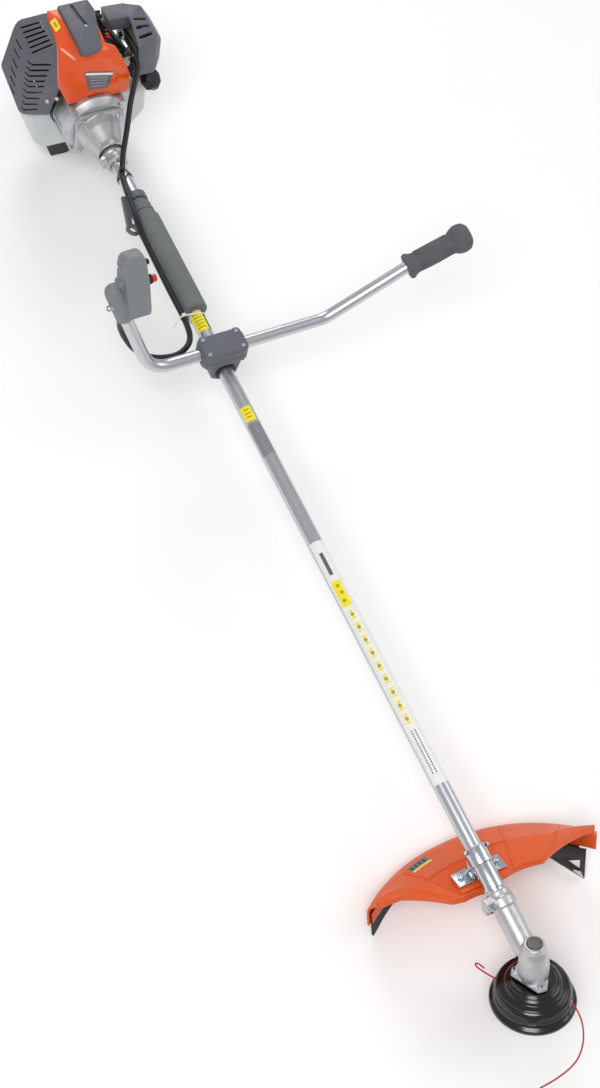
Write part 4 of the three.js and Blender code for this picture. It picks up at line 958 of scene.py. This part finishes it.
def polar(angle, radius, z):
    return H(radius * math.sin(math.radians(angle)), radius * math.cos(math.radians(angle)), z)


def guard_section(angle, wall):
    """Rounded cross-section in (radius, height): lip, crest, falling roof, shoulder, outer wall."""
    front, crest = guard_front(angle)
    reach = guard_reach(angle) - wall
    middle = (front + reach) / 2
    foot = max(-35, ground_at(reach * math.cos(math.radians(angle))) + 4)
    section = [(front + wall, crest - 12), (front + wall, crest - wall),
        (middle, crest - (crest - 18) * 0.35 - wall), (reach - 16, 16 - wall), (reach - 4, 7 - wall),
        (reach, -5), (reach, foot)]
    return rounded(section, 5, 5)


def sheet_between(name, outer, inner, material, sharp=38):
    """Closed skin from two matching grids of points."""
    rows, columns = len(outer), len(outer[0])
    points = [p for grid in (outer, inner) for row in grid for p in row]
    faces = []

    def at(side, i, j):
        return side * rows * columns + i * columns + j

    for i in range(rows - 1):
        for j in range(columns - 1):
            for side in (0, 1):
                faces.append((at(side, i, j), at(side, i, j + 1), at(side, i + 1, j + 1),
                    at(side, i + 1, j)))
        for j in (0, columns - 1):
            faces.append((at(0, i, j), at(0, i + 1, j), at(1, i + 1, j), at(1, i, j)))
    for j in range(columns - 1):
        for i in (0, rows - 1):
            faces.append((at(0, i, j), at(0, i, j + 1), at(1, i, j + 1), at(1, i, j)))
    return add_mesh(name, points, faces, material, sharp)


def guard_angles(count, low=-37.4, high=55.4):
    return [low + (high - low) * k / count for k in range(count + 1)]


def roof_point(angle, share, lift):
    """On the guard's roof: share 0 at the crest of its front edge, 1 at the shoulder; lift above it."""
    front, crest = guard_front(angle)
    reach = guard_reach(angle)
    middle = (front + reach) / 2
    mid_height = crest - (crest - 18) * 0.35
    if share < 0.5:
        radius = front + (middle - front) * share * 2
        height = crest + (mid_height - crest) * share * 2
    else:
        far = max(reach - 16, middle)
        radius = middle + (far - middle) * (share * 2 - 1)
        height = mid_height + (16 - mid_height) * (share * 2 - 1)
    return polar(angle, radius, height + lift)


def rib(name, path, width, material):
    """Raised rib with a rounded top along a path, half sunk in; width is its radius in millimetres."""
    return tube(name, path, width * MM, material, 10)


def add_guard():
    angles = guard_angles(120)
    outer = [[polar(a, r, z) for r, z in guard_section(a, 0)] for a in angles]
    inner = [[polar(a, r, z) for r, z in guard_section(a, GUARD_WALL)] for a in angles]
    shell = sheet_between("shell", outer, inner, "orange_guard")
    rim = rib("rim", [roof_point(a, 0.01, 0.2) for a in guard_angles(100, -37.3, 55.3)], 2.2,
        "orange_guard")
    parts = [shell, rim]
    for angle, low, high in ((22, 0.03, 0.98), (43, 0.05, 0.95), (-20, 0.05, 0.96)):
        parts.append(rib("rib", [roof_point(angle, low + (high - low) * k / 16, 0.1) for k in range(17)],
            1.7, "orange_guard"))
    parts.append(rib("rib", [roof_point(a, 0.5, 0.2) for a in guard_angles(30, -20, 22)], 1.4,
        "orange_guard"))
    hem = [polar(a, guard_reach(a) + 0.1, max(-35, ground_at(guard_reach(a) * math.cos(math.radians(a)))
        + 4) + 2) for a in guard_angles(80, -37, 55)]
    parts.append(rib("hem", hem, 1.8, "orange_guard"))
    strip_angles = guard_angles(60, -37, 50.5)
    strips = []
    for depth in (GUARD_WALL + 4.4, GUARD_WALL + 5.8):
        strips.append([[polar(a, guard_reach(a) - depth, z) for z in (-8, -13, -20, -29)]
            for a in strip_angles])
    parts.append(sheet_between("skirt_strip", strips[1], strips[0], "orange_guard"))
    pad = hull("mount_pad", [H(x, y, z) for x, y in ((-42, 118), (42, 118), (-38, 158), (38, 158))
        for z in (42, 50)], "orange_guard", 0.002)
    parts.append(pad)
    assemble("guard_moulded", parts, "guard")


def decal(name, low, high, near, far, lift, material):
    """Thin sticker on the guard's roof between two angles and two shares of its depth."""
    grids = [[[roof_point(low + (high - low) * i / 10, near + (far - near) * j / 6, lift - drop)
        for j in range(7)] for i in range(11)] for drop in (0, 0.25)]
    return sheet_between(name, *grids, material)


def add_guard_sticker():
    stickers = [decal("strip", -18.5, -9, 0.84, 0.97, 0.35, "plate_grey"), decal("edge", -18.5, -9, 0.80,
        0.84, 0.35, "label_yellow")]
    stickers += [decal("bar", -17.6 + 2 * k, -16.4 + 2 * k, 0.87, 0.94, 0.55, "label_ink")
        for k in range(4)]
    assemble("guard_sticker", stickers)


def add_skirt():
    angles = guard_angles(90, -36.5, 50)

    def column(angle, inset):
        radius = guard_reach(angle) - GUARD_WALL - 0.8 - inset
        foot = max(-60, ground_at(radius * math.cos(math.radians(angle))) + 0.1)
        return [polar(angle, radius, -14 + (foot + 14) * k / 8) for k in range(9)]

    grids = ([column(a, depth) for a in angles] for depth in (0, 3))
    place_on(sheet_between("guard_skirt_rubber", *grids, "rubber"), "chassis", ["guard_skirt"])


def add_cutter():
    turn = Matrix.Rotation(math.radians(-50), 3, HEAD_UP)

    def place(x, z, depth):
        return HEAD + turn @ (H(x, 246 + depth, z) - HEAD)

    def slab(name, outline, d0, d1, material, round_off):
        return hull(name, [place(x, z, d) for x, z in outline for d in (d0, d1)], material, round_off, 2)

    body = slab("body", [(-60, -20), (14, -20), (14, -86), (-22, -62), (-60, -48)], -2, 0, "black", 0.0006)
    hole = slab("hole", [(6, -66), (6, -46), (-14, -54)], -6, 4, "black", 0)
    body = carve(body, hole)
    edges = [tube("edge", [place(a[0], a[1], 0.4), place(b[0], b[1], 0.4)], 0.0011, "black", 10) for a,
        b in (((13, -21), (13, -84)), ((13, -84), (-22, -61)), ((-22, -61), (-59, -47)))]
    blade = slab("blade", [(9, -69), (13.6, -83), (-4, -72), (-2, -68)], -3.4, -2.05, "zinc", 0.0002)
    screws = [screw("screw", place(x, z, 0), turn @ HEAD_BACK, 3.4, 2.2) for x,
        z in ((-34, -32), (-6, -30))]
    assemble("line_cutter_bracket", [body, blade, *edges, *screws], "line_cutter")


def add_bracket():
    band = ring("band", HEAD, Y_AXIS, 13.4, 17.2, 150, 176, 1, 3, "zinc", 64)
    sleeve = ring("sleeve", HEAD, Y_AXIS, 13.4, 15.6, 112, 150, 0.8, 3, "zinc", 64)
    web = hull("web", [H(x, y, z) for x, y, z in ((-14, 128, 50.2), (14, 128, 50.2), (-14, 152, 50.2),
        (14, 152, 50.2), (-13, 136, 78), (13, 136, 78), (-13, 152, 84), (13, 152, 84))], "zinc", 0.0012)
    web = carve(web, rod("bore", HEAD, Y_AXIS, 13.4, 90, 200, "zinc", 64))
    parts = [band, sleeve, web]
    for side in (-1, 1):
        parts.append(hull("ear", [H(side * x, y, z) for x in (12, 40) for y in (126, 152)
            for z in (50.4, 54.2)], "zinc", 0.001))
        parts.append(hull("gusset", [H(side * x, y, z) for x, z in ((13, 54), (30, 54), (13, 70))
            for y in (137, 141)], "zinc", 0.0006))
        parts.append(screw("bolt", H(side * 31, 139, 54), HEAD_UP, 4.6, 5))
        parts.append(screw("pinch", H(side * 16.5, 146, 92), Vector((side, 0, 0)), 3.2, 4))
    assemble("guard_bracket_pressed", parts, "guard_bracket")


# ---------------------------------------------------------------- engine castings
def add_clutch_housing():
    cone = turned("cone", CRANK, Y_AXIS, [(0, -172), (17.8, -172), (17.8, -156), (20, -152), (20, -138),
        (23.5, -138), (23.5, -147), (26.5, -147), (27, -136), (31, -126), (39, -107), (42.5, -92),
        (43, -83), (0, -83)], 1, 3, "cast", 96)
    lip = disc("lip", CRANK, Y_AXIS, 19.6, -174, -166, 1, 3, "cast", 72)
    flange = hull("flange", [E(x * sx, y, z * sz) for x, z in ((46, 34), (37, 43)) for sx in (-1, 1)
        for sz in (-1, 1) for y in (-91, -83)], "cast", 0.0014, 3)
    webs = []
    for x, z in ((-38, -35), (38, -35), (-38, 35), (38, 35)):
        side = Vector((x, 0, z)).normalized()
        across = Vector((-side.z, 0, side.x))
        webs.append(hull("web", [E(*(side * r + across * w + Y_AXIS * y)) for w in (-2.4, 2.4) for r,
            y in ((28.5, -138), (24, -134), (48, -90), (36, -90), (34, -106))], "cast", 0.0008))
    ear = block("ear", E, -27, -14, -170, -154, -7, 7, "cast", 0.0018)
    cavity = lathe("cavity", CRANK, Y_AXIS, [(0, -190), (TUBE_BORE, -190), (TUBE_BORE, -141.3),
        (11.5, -141.3), (11.5, -136), (14, -131), (35, -108.5), (37, -86), (37.6, -70), (0, -70)], "cast",
        72)
    case = carve(weld(cone, flange, lip, ear, *webs), cavity, block("slot", E, -34, -10, -176, -149, -0.9,
        0.9, "cast"))
    case = soften(case, 0.0009, 4)
    # The black ring at the bottom of the groove is painted shade, not a seal.
    groove_shade_ring = ring("groove_shade_ring", CRANK, Y_AXIS, 20.2, 23.3, -144, -139, 0.5, 2, "rubber", 72)
    bolts = [screw("bolt", E(x, -91, z), -Y_AXIS, 3.6, 4.5) for x in (-38, 38) for z in (-35, 35)]
    bolts.append(screw("pinch", E(-23, -159, 7), Z_AXIS, 3.6, 4))
    assemble("clutch_housing_casting", [case, groove_shade_ring, *bolts], "clutch_housing")


def add_barrels():
    fan = turned("ring", CRANK, Y_AXIS, [(37, -82.7), (54, -82.7), (64, -72.7), (64, -32), (59, -32),
        (59, -71.7), (50, -77.7), (37, -77.7), (37, -82.7)], 1.6, 3, "cast", 128)
    fan = carve(fan, block("window", E, -15, 15, -63, -41, 40, 80, "cast"))
    ridges = []
    for k in range(14):
        turn = math.radians(120 + 12 * k)
        side = Vector((math.sin(turn), 0, math.cos(turn)))
        across = Vector((-side.z, 0, side.x))
        ridges.append(hull("ridge", [E(*(side * r + across * w + Y_AXIS * y)) for w in (-1.2, 1.2) for r,
            y in ((63, -72), (65, -70), (65, -34), (63, -34))], "cast", 0.0004, 1))
    for z in (-46, 46):
        for x in (-46, 46):
            ridges.append(rod("boss", E(x * 0.98, -79, z * 0.98), Y_AXIS, 6, -2, 46, "cast", 24))
    assemble("fan_housing_casting", [fan, *ridges], "fan_housing")
    barrel = turned("barrel", CRANK, Y_AXIS, [(8.3, -31.7), (64, -31.7), (64, -27.7), (46, -26.5),
        (44, -24), (44, 28), (8.3, 28), (8.3, 20), (34, 20), (34, -22), (8.3, -22), (8.3, -31.7)], 1, 2,
        "cast", 128)
    deck = block("deck", E, -36, 36, -29, 29, 20, 45.7, "cast", 0.003)
    deck = carve(deck, rod("chamber", CRANK, Y_AXIS, 40, -50, 50, "cast", 64))
    case = carve(weld(barrel, deck), rod("mouth", CRANK, Z_AXIS, 23.3, 10, 60, "cast", 64))
    place_on(case, "chassis", ["crankcase"])
    case.name = "crankcase_casting"


def add_cylinder():
    core = rod("core", CRANK, Z_AXIS, 27, 46, 118, "cast", 64)
    blocks = [block("foot", E, -35, 35, -26, 26, 46, 52, "cast", 0.0015), block("exhaust", E, -47, -20, -15,
        15, 72, 96, "cast", 0.0015), block("intake", E, 20, 45, -14, 14, 70, 94, "cast", 0.0015)]
    for k in range(9):
        z = 63 + 6 * k
        blocks.append(hull("fin", [E(x, y, z + t) for x, y in ((-38, -26), (-32, -32), (32, -32), (38, -26),
            (38, 24), (32, 30), (-32, 30), (-38, 24)) for t in (0, 2)], "cast", 0.0005, 1))
    made = weld(core, *blocks)
    made = carve(made, rod("bore", CRANK, Z_AXIS, 20.3, 30, 114, "cast", 64), rod("plug", CRANK, Z_AXIS,
        5.3, 110, 130, "cast", 32))
    shade(made, 30)
    made.name = "cylinder_casting"
    place_on(made, "chassis", ["cylinder"])


def add_starter():
    shell = turned("shell", CRANK, Y_AXIS, [(0, 90), (52, 90), (64, 78), (64, 28.3), (61, 28.3), (61, 77),
        (50, 86), (7, 86), (7, 61), (0, 61)], 2.4, 4, "grey", 128)
    cutters = [block("vent", E, -34, 34, 78, 96, -33 + 15 * k, -28 + 15 * k, "grey", 0.0008, 2)
        for k in range(5)]
    cutters.append(rod("hole", E(30, 66, 40), Z_AXIS, 3, 0, 40, "grey", 24))
    shell = carve(shell, *cutters)
    hub = turned("hub", CRANK, Y_AXIS, [(0, 80), (12, 80), (12, 89.4), (10.5, 90), (0, 90)], 0.5, 2, "grey",
        48)
    guide = turned("guide", E(30, 66, 56), Z_AXIS, [(2.4, 0), (6, 0), (6, 7.5), (4.5, 8.6), (2.4, 8),
        (2.4, 0)], 0.6, 3, "black", 40)
    bolts = [screw("bolt", E(x, 83.5, z), Y_AXIS, 3.4, 4) for z in (-43, 43) for x in (-43, 43)]
    for part in (shell, hub):
        shade(part, 35)
    assemble("starter_housing_moulded", [shell, hub, guide, *bolts], "starter_housing")
    handle = hull("grip", [E(30 + x, 66 + y, z) for x, y, z in ((-18, -5, 72), (18, -5, 72), (-18, 5, 72),
        (18, 5, 72), (-19, -4, 80), (19, -4, 80), (-19, 4, 80), (19, 4, 80), (-12, -6, 84), (12, -6, 84),
        (-12, 6, 84), (12, 6, 84), (-11, -6.5, 71), (11, -6.5, 71), (-11, 6.5, 71), (11, 6.5, 71))],
        "black", 0.0022, 4)
    neck = turned("neck", E(30, 66, 0), Z_AXIS, [(0, 65), (5, 65), (7, 71), (7, 74), (0, 74)], 1, 3,
        "black", 40)
    assemble("starter_handle_moulded", [handle, neck], "starter_handle", "starter_handle")
    low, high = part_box("starter_rope")
    middle = (low + high) / 2
    steps = 40
    path = [Vector((middle.x, middle.y, low.z + (high.z - low.z) * k / steps)) for k in range(steps + 1)]
    rope = tube("starter_cord", path, 0.0015, "rope", 16)
    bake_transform(rope)
    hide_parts("starter_rope")


# ---------------------------------------------------------------- engine covers
COVER_CORNERS = [
    (-51, -66, 54), (62, -66, 54), (-66, -60, 92), (66, -58, 91), (-31, -49, 134), (15, -51, 134), (48, -39,
        130),
    (-53, -22, 147), (20, -42, 146), (-50, 48, 162), (27, 48, 160), (-62, 38, 54), (60, 38, 54), (-62, 38,
        96),
    (50, 38, 96), (-54, 48, 120), (40, 48, 120),
]
MUFFLER_GUARD_CORNERS = [
    (-61, -57, 92), (-48, -24, 145), (-46, 46, 160), (-100, 60, 142), (-132, 50, 60), (-118, -8, -8), (-70,
        -26, -5),
    (-108, 64, -6), (-68, 70, -6), (-58, 70, 60), (-56, 66, 132), (-108, 6, 74),
]
SPINE_CORNERS = [
    (-24, -44, 157), (-12, -56, 151), (16, -45, 150), (-29, 46, 169), (24, 46, 171), (32, 30, 160), (27, 50,
        160),
    (-30, 50, 160), (-30, 50, 140), (27, 50, 140), (32, 30, 146), (-24, -42, 135), (15, -42, 135), (-12,
        -48, 136),
]
FILTER_CORNERS = [
    (92, -34, 50), (92, 56, 46), (92, -30, 112), (92, 18, 138), (92, 56, 138), (126, -33, 50), (126, 50,
        47),
    (143, -12, 60), (143, 44, 54), (144, -10, 104), (144, 42, 104), (128, -22, 124), (124, 44, 136),
]
STEP_CORNERS = [
    (56, 22, 112), (56, 56, 112), (54, 24, 137), (54, 56, 139), (98, 20, 112), (98, 56, 112), (98, 22, 137),
    (98, 56, 137),
]


def inset(points, wall):
    """The corners drawn in towards their middle by a wall thickness; negative grows them."""
    middle = [(max(p[i] for p in points) + min(p[i] for p in points)) / 2 for i in range(3)]
    return [tuple(v - math.copysign(wall, v - middle[i]) for i, v in enumerate(p)) for p in points]


def moved(points, dx, dy, dz):
    return [(x + dx, y + dy, z + dz) for x, y, z in points]


def solid(name, points, material, round_off=0.0, segments=4):
    return hull(name, [E(*p) for p in points], material, round_off, segments)


def cover_room():
    return solid("room", inset(COVER_CORNERS, -0.5), "orange")


def barrel_room(radius=64.5):
    return rod("barrel_room", CRANK, Y_AXIS, radius, -95, 95, "orange", 96)


def slit(points, outward, width, depth, material):
    """Cutters for a slot along a line of points, cut square to outward; sizes in millimetres."""
    cutters = []
    for a, b in zip(points, points[1:]):
        a, b = Vector(a), Vector(b)
        run = (b - a).normalized()
        side = run.cross(outward).normalized() * width / 2
        out = side.cross(run).normalized() * depth
        corners = []
        for end, push in ((a, -run), (b, run)):
            for reach in (-1, 1):
                corners += [end + side + out * reach, end - side + out * reach]
                corners.append(end + push * width / 2 + out * reach)
        cutters.append(hull("slit", [E(*p) for p in corners], material))
    return cutters


def stepped(start, step, count):
    return [Vector(start) + Vector(step) * k for k in range(count)]


def along(points, t):
    """Point at share t of a three-point line."""
    a, b, c = (Vector(p) for p in points)
    return a.lerp(b, t * 2) if t < 0.5 else b.lerp(c, t * 2 - 1)


def add_muffler_guard():
    outer = solid("outer", MUFFLER_GUARD_CORNERS, "grey", 0.0035, 5)
    inner = inset(MUFFLER_GUARD_CORNERS, 3)
    inner = [(x + 12, y, z) if old[0] > -75 else (x, y, z) for (x, y, z),
        old in zip(inner, MUFFLER_GUARD_CORNERS)]
    shell = carve(outer, solid("inner", inner, "grey", 0.002, 3), cover_room(), barrel_room())
    outward = Vector((-0.8, -0.45, 0.4))
    cutters = []
    for left, right in zip(stepped((-95, 46, 137), (1.3, -7.1, -4.9), 6), stepped((-65, 36, 151),
            (1, -9, -1.8), 6)):
        cutters += slit([left, right], outward, 3.0, 14, "grey")
    hooks = [(-97, 9, 97), (-106.5, -1.5, 59), (-114.5, -6, 9)]
    bends = [(-93.5, 0.7, 95.5), (-103, -8, 56), (-112, -11, 6)]
    rights = [(-68.5, -23.5, 112), (-83, -31, 73), (-92, -23, 14)]
    for k in range(9):
        t = k / 8
        cutters += slit([along(hooks, t), along(bends, t), along(rights, t)], outward, 2.9, 14, "grey")
    for start, end in zip(stepped((-105, 43, 116), (-3.9, -3.9, -16), 6), stepped((-102, 28, 108),
            (-3.9, -3.2, -16.8), 6)):
        cutters += slit([start, end], outward, 3.2, 14, "grey")
    for k in range(5):
        cutters += slit([(-104 + k, 74, 118 - 22 * k), (-76, 78, 122 - 22 * k)], Y_AXIS, 3.4, 14, "grey")
    shell = carve(shell, *cutters)
    shade(shell, 28)
    bulge = solid("bulge", [(-88, 10, 112), (-60, -14, 136), (-84, 0, 98), (-60, -33, 117), (-92, 6, 104),
        (-70, -10, 120), (-68, -22, 118)], "grey", 0.004, 5)
    # A thin dark sheet just inside the upper slots is painted shade, so the slots show dark within.
    corners = ((-97, 48, 126), (-60, 40, 140), (-60, -12, 124), (-90, 12, 92))
    shade_liner = solid("shade_liner", [(x, y, z - t) for t in (0, 2) for x, y, z in corners], "sooty_steel_and_shade")
    bolts = [screw("bolt", E(-78, -36.5, 44), Vector((-0.6, -0.8, 0.1)), 3.8, 3.5),
        screw("bolt", E(-67, -52, 62), Vector((-0.6, -0.8, 0.1)), 3.8, 3.5)]
    assemble("muffler_guard_moulded", [shell, bulge, shade_liner, *bolts], "muffler_guard")


def patch_on(name, quad, u0, u1, v0, v1, lift, material):
    """Thin panel on part of a four-cornered field; u and v are shares of its width and height."""
    a, b, c, d = (Vector(p) for p in quad)
    outward = (d - a).cross(b - a).normalized()
    points = []
    for height in (lift, lift - 2.2):
        for u, v in ((u0, v0), (u1, v0), (u1, v1), (u0, v1)):
            points.append(E(*(a.lerp(b, u).lerp(d.lerp(c, u), v) + outward * height)))
    faces = [(0, 1, 2, 3), (7, 6, 5, 4), (0, 4, 5, 1), (1, 5, 6, 2), (2, 6, 7, 3), (3, 7, 4, 0)]
    return add_mesh(name, points, faces, material, 20)


def add_engine_cover():
    outer = solid("outer", COVER_CORNERS, "orange", 0.0028, 4)
    inner = [(x, y, z - 8) if old[2] < 60 else (x, y, z) for (x, y, z),
        old in zip(inset(COVER_CORNERS, 2.6), COVER_CORNERS)]
    shell = carve(outer, solid("inner", inner, "orange", 0.003, 3), block("exhaust", E, -90, -40, -22, 34,
        40, 114, "orange"), block("intake", E, 27, 80, -31, 70, 30, 175, "orange"), barrel_room())
    shade(shell, 30)
    shell.name = "engine_cover_moulded"
    place_on(shell, "chassis", ["engine_cover"])
    plate = [(-19, -57.2, 112.4), (33, -58.8, 101), (20.6, -64.2, 73.2), (-13.5, -63.7, 77.8)]
    # The white strip along the top of the plate is a painted highlight, not a label.
    parts = [patch_on("plate", plate, 0, 1, 0, 1, 0.9, "plate_grey"), patch_on("painted_highlight", plate, 0.01, 0.99,
        0.01, 0.14, 1.3, "white_label_and_highlight")]
    for k in range(4):
        parts.append(patch_on("line", plate, 0.12, 0.86, 0.26 + 0.17 * k, 0.31 + 0.17 * k, 1.3,
            "label_grey"))
    assemble("engine_nameplate", parts)
    card = [(-50.6, 25.7, 155.6), (-39.6, 29.5, 159.4), (-37.4, 9.5, 155.4), (-48.1, 4.3, 152.9)]
    parts = [patch_on("card", card, 0, 1, 0, 1, 1.6, "label_yellow"), patch_on("mark", card, 0.3, 0.7, 0.25,
        0.75, 2.0, "label_ochre")]
    assemble("cover_sticker", parts)


def add_spine():
    outer = solid("outer", SPINE_CORNERS, "grey", 0.0018, 2)
    shell = carve(outer, cover_room(), *slit([(-7, 40, 170), (-3, 19, 166.5), (3.5, -3, 162.5)], Z_AXIS,
        6.5, 5, "grey"))
    shade(shell, 30)
    plug = screw("screw", E(3.3, -2, 158), Vector((0, -0.15, 1)), 3.4, 3)
    assemble("top_cover_moulded", [shell, plug], "top_cover")


def add_muffler():
    can = solid("can", [(-62, -12, 46), (-62, 33, 46), (-62, -12, 110), (-62, 33, 110), (-88, 4, 52),
        (-88, 38, 52), (-84, 6, 100), (-84, 38, 100)], "sooty_steel_and_shade", 0.005, 5)
    port = solid("port", [(x, y, z) for x in (-63, -47.3) for y in (-12, 12) for z in (74, 94)],
        "sooty_steel_and_shade", 0.0015)
    outlet = ring("outlet", E(-80, 26, 60), Vector((-0.9, 0.4, 0)), 4, 6, 0, 9, 0.5, 2, "sooty_steel_and_shade", 32)
    bolts = [screw("bolt", E(-74, 10, 110), Z_AXIS, 3.6, 3.5), screw("bolt", E(-74, 28, 110), Z_AXIS, 3.6,
        3.5)]
    assemble("muffler_pressed", [can, port, outlet, *bolts], "muffler")


# ---------------------------------------------------------------- intake, tank and foot
def add_intake():
    body = carve(block("body", E, 62.3, 84, -18, 18, 62, 100, "cast", 0.002), rod("venturi", E(0, 0, 82),
        X_AXIS, 8, 55, 95, "cast", 40), rod("seat", E(73, 0, 78), Y_AXIS, 9, -20, -13, "cast", 40))
    parts = [body, block("bracket", E, 66, 84, -30, -17, 96, 99.4, "cast", 0.0008)]
    parts.append(turned("bowl", E(73, 0, 62), -Z_AXIS, [(0, -1), (15, -1), (15, 5), (11, 8), (0, 8)], 1.5,
        3, "cast", 48))
    parts += [screw("screw", E(x, y, 100), Z_AXIS, 2.4, 2) for x in (65.5, 81) for y in (-14, 14)]
    stop = disc("stop", E(58, -19, 92), Y_AXIS, 2.6, -9, 3, 0.5, 2, "zinc", 20)
    assemble("carburettor_body", [*parts, stop], "carburetor")
    rail = tube("rail", smooth_path([E(36, 34, 141), E(42, 20, 138), E(54, -2, 129), E(64, -18, 118),
        E(71, -27, 108)], 8), 0.0034, "black", 20)
    top = tube("cross", smooth_path([E(28, 28, 147), E(37, 33, 144), E(46, 30, 141)], 6), 0.0036, "black",
        16)
    knuckle = block("knuckle", E, 62, 80, -34, -18, 100, 111, "black", 0.003)
    choke_link = tube("link", smooth_path([E(52, 16, 122), E(60, 4, 116), E(70, -6, 110)], 6), 0.0012,
        "zinc", 10)
    clip = block("clip", E, 40, 50, -4, 8, 118, 126, "red", 0.002)
    assemble("throttle_linkage", [rail, top, knuckle, choke_link, clip])
    baffle = [(x, y, z + t) for x, z in ((26, 134), (64, 107)) for y in (-26, 18) for t in (0, 4)]
    shelf = [(x, y, z + t) for x, z in ((26, 134), (50, 117)) for y in (17, 50) for t in (0, 4)]
    back = [(x, y, z) for x in (27, 50) for y in (46.5, 50) for z in (100, 138)]
    shroud = [solid("panel", corners, "black", 0.001, 2) for corners in (baffle, shelf, back)]
    assemble("intake_shroud", shroud)
    spacer = carve(block("insulator", E, 45.3, 62, -17, 17, 66, 98, "black", 0.002),
        rod("hole", E(0, 0, 82), X_AXIS, 8, 40, 70, "black", 40))
    spacer.name = "intake_insulator_block"
    place_on(spacer, "chassis", ["intake_insulator"])
    base = carve(block("base", E, 84.3, 91.7, -28, 50, 40, 109, "black", 0.002), rod("hole", E(0, 0, 82),
        X_AXIS, 9, 80, 95, "black", 40))
    base.name = "filter_base_plate"
    place_on(base, "chassis", ["filter_base"])
    bulb = turned("primer_dome", E(73, 0, 78), Y_AXIS, [(0, -29), (3.5, -28.6), (6.6, -26.4), (8, -23),
        (8.5, -18.3), (0, -18.3)], 1.5, 4, "bulb", 48)
    place_on(bulb, "primer_bulb", ["primer_bulb"])
    for node, material in (("carb_throttle_lever", "zinc"), ("choke_lever", "black"), ("filter_element",
            "foam")):
        bevelled(node, material, 0.0007)


def add_filter_cover():
    outer = solid("outer", FILTER_CORNERS, "grey", 0.0024, 3)
    inner = [(x - 8, y, z) if old[0] < 93 else (x, y, z) for (x, y, z), old in zip(inset(FILTER_CORNERS, 3),
        FILTER_CORNERS)]
    shell = carve(outer, solid("inner", inner, "grey", 0.002, 2))
    step = carve(solid("step", STEP_CORNERS, "grey", 0.002, 3),
        solid("hollow", moved(inset(STEP_CORNERS, 3), 8, 0, -8), "grey"))
    cover = weld(shell, step)
    cutters = [cover_room()]
    for k in range(3):
        start, end = (100, -15 + 15 * k, 133), (121, -15 + 15 * k, 133)
        cutters += slit([start, end], Z_AXIS, 5.4, 26, "grey")
    cover = carve(cover, *cutters)
    shade(cover, 30)
    latch = turned("latch", E(143.5, 16, 80), X_AXIS, [(0, -3), (9, -3), (9, 0.4), (7, 1.6), (0, 1.6)], 0.8,
        3, "black", 40)
    assemble("filter_cover_moulded", [cover, latch], "filter_cover", "filter_cover")


def add_tank():
    corners = [(x, y, z) for y in (-17, 68) for x, z in ((-105, -11), (-66, -11), (-94, -80), (-78, -98),
        (92, -98), (122, -56), (122, 0), (70, 6))]
    body = solid("body", corners, "tank", 0.008, 7)
    neck = lathe("neck", NECK_FOOT, NECK, [(0, -4), (15, -4), (15, 31), (13.5, 34), (0, 34)], "tank", 64)
    body = weld(body, neck)
    body = carve(body, barrel_room(67), block("over", E, -67, 67, -40, 90, 0, 40, "tank"),
        rod("mouth", NECK_FOOT, NECK, 12, 10, 60, "tank", 64))
    shade(body, 30)
    body.name = "fuel_tank_blown"
    seam = solid("seam", [(x, y, z) for y in (24.5, 26.5) for x, z in ((92, -98.6), (122.7, -56),
        (122.7, -8), (118, -8), (118, -54), (90, -94))], "tank", 0.0003, 1)
    place_on(body, "chassis", ["fuel_tank"])
    assemble("fuel_tank_seam", [seam])


def add_fuel_cap():
    def on_corner(k, radius, distance):
        return NECK_FOOT + (across(NECK, (k + 0.5) / 8) * radius + NECK * distance) * MM

    skirt = hull("skirt", [on_corner(k, r, d) for k in range(8) for r, d in ((19.8, 34.6), (20.8, 37),
        (20.8, 50), (17.5, 53.8))], "black", 0.0022, 4)
    ribs = [tube("rib", [on_corner(k, 20.3, 38), on_corner(k, 20.3, 49)], 0.0011, "black", 10)
        for k in range(8)]
    plug = disc("plug", NECK_FOOT, NECK, 11, 27, 36, 0.6, 2, "black", 40)
    assemble("fuel_cap_moulded", [skirt, plug, *ribs], "fuel_cap", "fuel_cap")


def add_foot():
    ground = -CRANK.z / MM
    low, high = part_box("tank_foot")
    front, rear = (low - CRANK).y / MM, (high - CRANK).y / MM

    def bar(name, section, y0, y1, round_off):
        return solid(name, [(x, y, z) for y in (y0, y1) for x, z in section], "charcoal", round_off, 3)

    outer = bar("outer", ((-51, ground), (51, ground), (31, -98.3), (-31, -98.3)), front, rear, 0.0018)
    hollow = bar("hollow", ((-40, ground + 7), (40, ground + 7), (23, -104.3), (-23, -104.3)), front + 5,
        140, 0.002)
    notch = bar("notch", ((-23, ground - 1), (23, ground - 1), (4, ground + 13), (-4, ground + 13)), 0,
        front + 12, 0)
    foot = carve(outer, hollow, notch)
    shade(foot, 30)
    ribs = [bar("rib", ((s * 33, -104), (s * 47.5, ground + 9), (s * 50, ground + 9), (s * 35, -104)), y,
        y + 4, 0.0005) for s in (-1, 1) for y in (30, 47, 64)]
    assemble("engine_stand", [foot, *ribs], "tank_foot")


def add_inner_works():
    for node, material in (("crankshaft", "steel"), ("piston", "satin"), ("flywheel", "cast"),
            ("clutch_shoes", "steel"), ("clutch_drum", "zinc"), ("starter_pulley", "black"),
            ("ignition_coil", "black"), ("spark_plug", "zinc"), ("plug_boot", "rubber")):
        bevelled(node, material, 0.0005)


# ---------------------------------------------------------------- assembly
add_materials()
add_camera()
add_cords()
add_studio()
for build in (add_shaft, add_labels, add_ties, add_harness_ring, add_bars, add_grip, add_clamp, add_control,
        add_gear_case, add_cutting_head, add_guard, add_guard_sticker, add_skirt, add_cutter, add_bracket,
        add_clutch_housing, add_barrels, add_cylinder, add_starter, add_muffler_guard, add_engine_cover,
        add_spine, add_muffler, add_intake, add_filter_cover, add_tank, add_fuel_cap, add_foot,
        add_inner_works):
    build()
